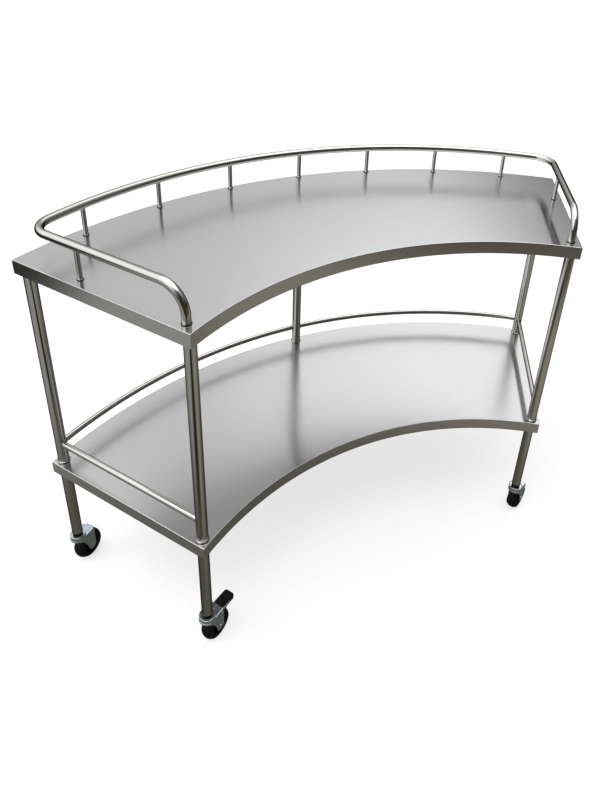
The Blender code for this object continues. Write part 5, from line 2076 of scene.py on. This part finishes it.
def add_camera():
    """The camera at the photograph's place: pitch down, a little roll, and turned towards +X."""
    pitch = 0.4692
    roll = 0.0834
    yaw = 0.5358
    ahead = Vector(
        (math.sin(yaw) * math.cos(pitch), math.cos(yaw) * math.cos(pitch), -math.sin(pitch))
    )
    level_right = Vector((math.cos(yaw), -math.sin(yaw), 0.0))
    level_up = level_right.cross(ahead)
    right = math.cos(roll) * level_right + math.sin(roll) * level_up
    up = math.cos(roll) * level_up - math.sin(roll) * level_right
    data = bpy.data.cameras.new("Camera")
    data.sensor_width = 36.0
    data.lens = 29.514
    data.shift_x = -0.0926
    data.shift_y = -0.1953
    data.clip_start = 0.05
    data.clip_end = 60.0
    camera = linked("Camera", data)
    turn = Matrix((right, up, -ahead)).transposed()
    place = Vector((-0.6768, -0.3445, 1.5758)) + to_frame()
    camera.matrix_world = Matrix.Translation(place) @ turn.to_4x4()
    bpy.context.scene.camera = camera


class TROLLEY_OT_stage(bpy.types.Operator):
    """Makes the floor, the light and the camera"""

    bl_idname = "trolley.stage"
    bl_label = "Floor, light and camera"

    def execute(self, context):
        scene = context.scene
        floor = linked("Floor", flat_square("Floor", FLOOR_HALF, 0.0))
        floor.data.materials.append(floor_material())
        floor.visible_glossy = False
        # Painted reflections that only the metal sees: a glowing floor card and a dark board
        square = flat_square("Reflected floor", FLOOR_HALF, -CARD_DROP)
        card = only_in_metal(linked("Reflected floor", square))
        card.data.materials.append(painted_floor_reflection_material())
        flag = dark_reflection_board("Dark flag", (-0.80, -1.60), 0.80, 1.75)
        scene.world = studio_world()
        softbox("Overhead softbox", (-1.2, -0.4, 3.2), (0.0, 0.0, 0.6), (2.2, 1.6), 45.0)
        softbox("Left softbox", (-3.0, 0.4, 1.8), (0.0, 0.0, 0.6), (1.0, 1.6), 16.0)
        add_camera()
        scene.view_settings.view_transform = "Standard"
        return {"FINISHED"}


# Panel and registration


class TROLLEY_PT_panel(bpy.types.Panel):
    """Sizes, finishes and the steps that build the trolley"""

    bl_idname = "TROLLEY_PT_panel"
    bl_label = "Curved instrument trolley"
    bl_space_type = "VIEW_3D"
    bl_region_type = "UI"
    bl_category = "Trolley"

    def draw(self, context):
        layout = self.layout
        scene = context.scene
        for operator in OPERATORS:
            layout.operator(operator.bl_idname)
        for label in GROUPS:
            group = getattr(scene, label)
            box_layout = layout.box()
            for name in group.bl_rna.properties.keys():
                if name not in ("rna_type", "name"):
                    box_layout.prop(group, name)


OPERATORS = (
    TROLLEY_OT_carried_finishes,
    TROLLEY_OT_shelves,
    TROLLEY_OT_rail,
    TROLLEY_OT_balusters,
    TROLLEY_OT_legs,
    TROLLEY_OT_rods,
    TROLLEY_OT_castor_heads,
    TROLLEY_OT_forks,
    TROLLEY_OT_wheels,
    TROLLEY_OT_brakes,
    TROLLEY_OT_stage,
)
GROUPS = {
    "trolley_sheet": TrolleySheetSizes,
    "trolley_tube": TrolleyTubeSizes,
    "trolley_castor": TrolleyCastorSizes,
    "trolley_brake": TrolleyBrakeSizes,
    "trolley_finishes": TrolleyFinishes,
}


def register():
    for group in GROUPS.values():
        bpy.utils.register_class(group)
    for name, group in GROUPS.items():
        setattr(bpy.types.Scene, name, PointerProperty(type=group))
    for operator in OPERATORS:
        bpy.utils.register_class(operator)
    bpy.utils.register_class(TROLLEY_PT_panel)


def unregister():
    bpy.utils.unregister_class(TROLLEY_PT_panel)
    for operator in reversed(OPERATORS):
        bpy.utils.unregister_class(operator)
    for name, group in GROUPS.items():
        delattr(bpy.types.Scene, name)
        bpy.utils.unregister_class(group)


def main():
    register()
    bpy.ops.trolley.carried_finishes()
    bpy.ops.trolley.shelves()
    bpy.ops.trolley.rail()
    bpy.ops.trolley.balusters()
    bpy.ops.trolley.legs()
    bpy.ops.trolley.rods()
    bpy.ops.trolley.castor_heads()
    bpy.ops.trolley.forks()
    bpy.ops.trolley.wheels()
    bpy.ops.trolley.brakes()
    bpy.ops.trolley.stage()


if __name__ == "__main__":
    main()
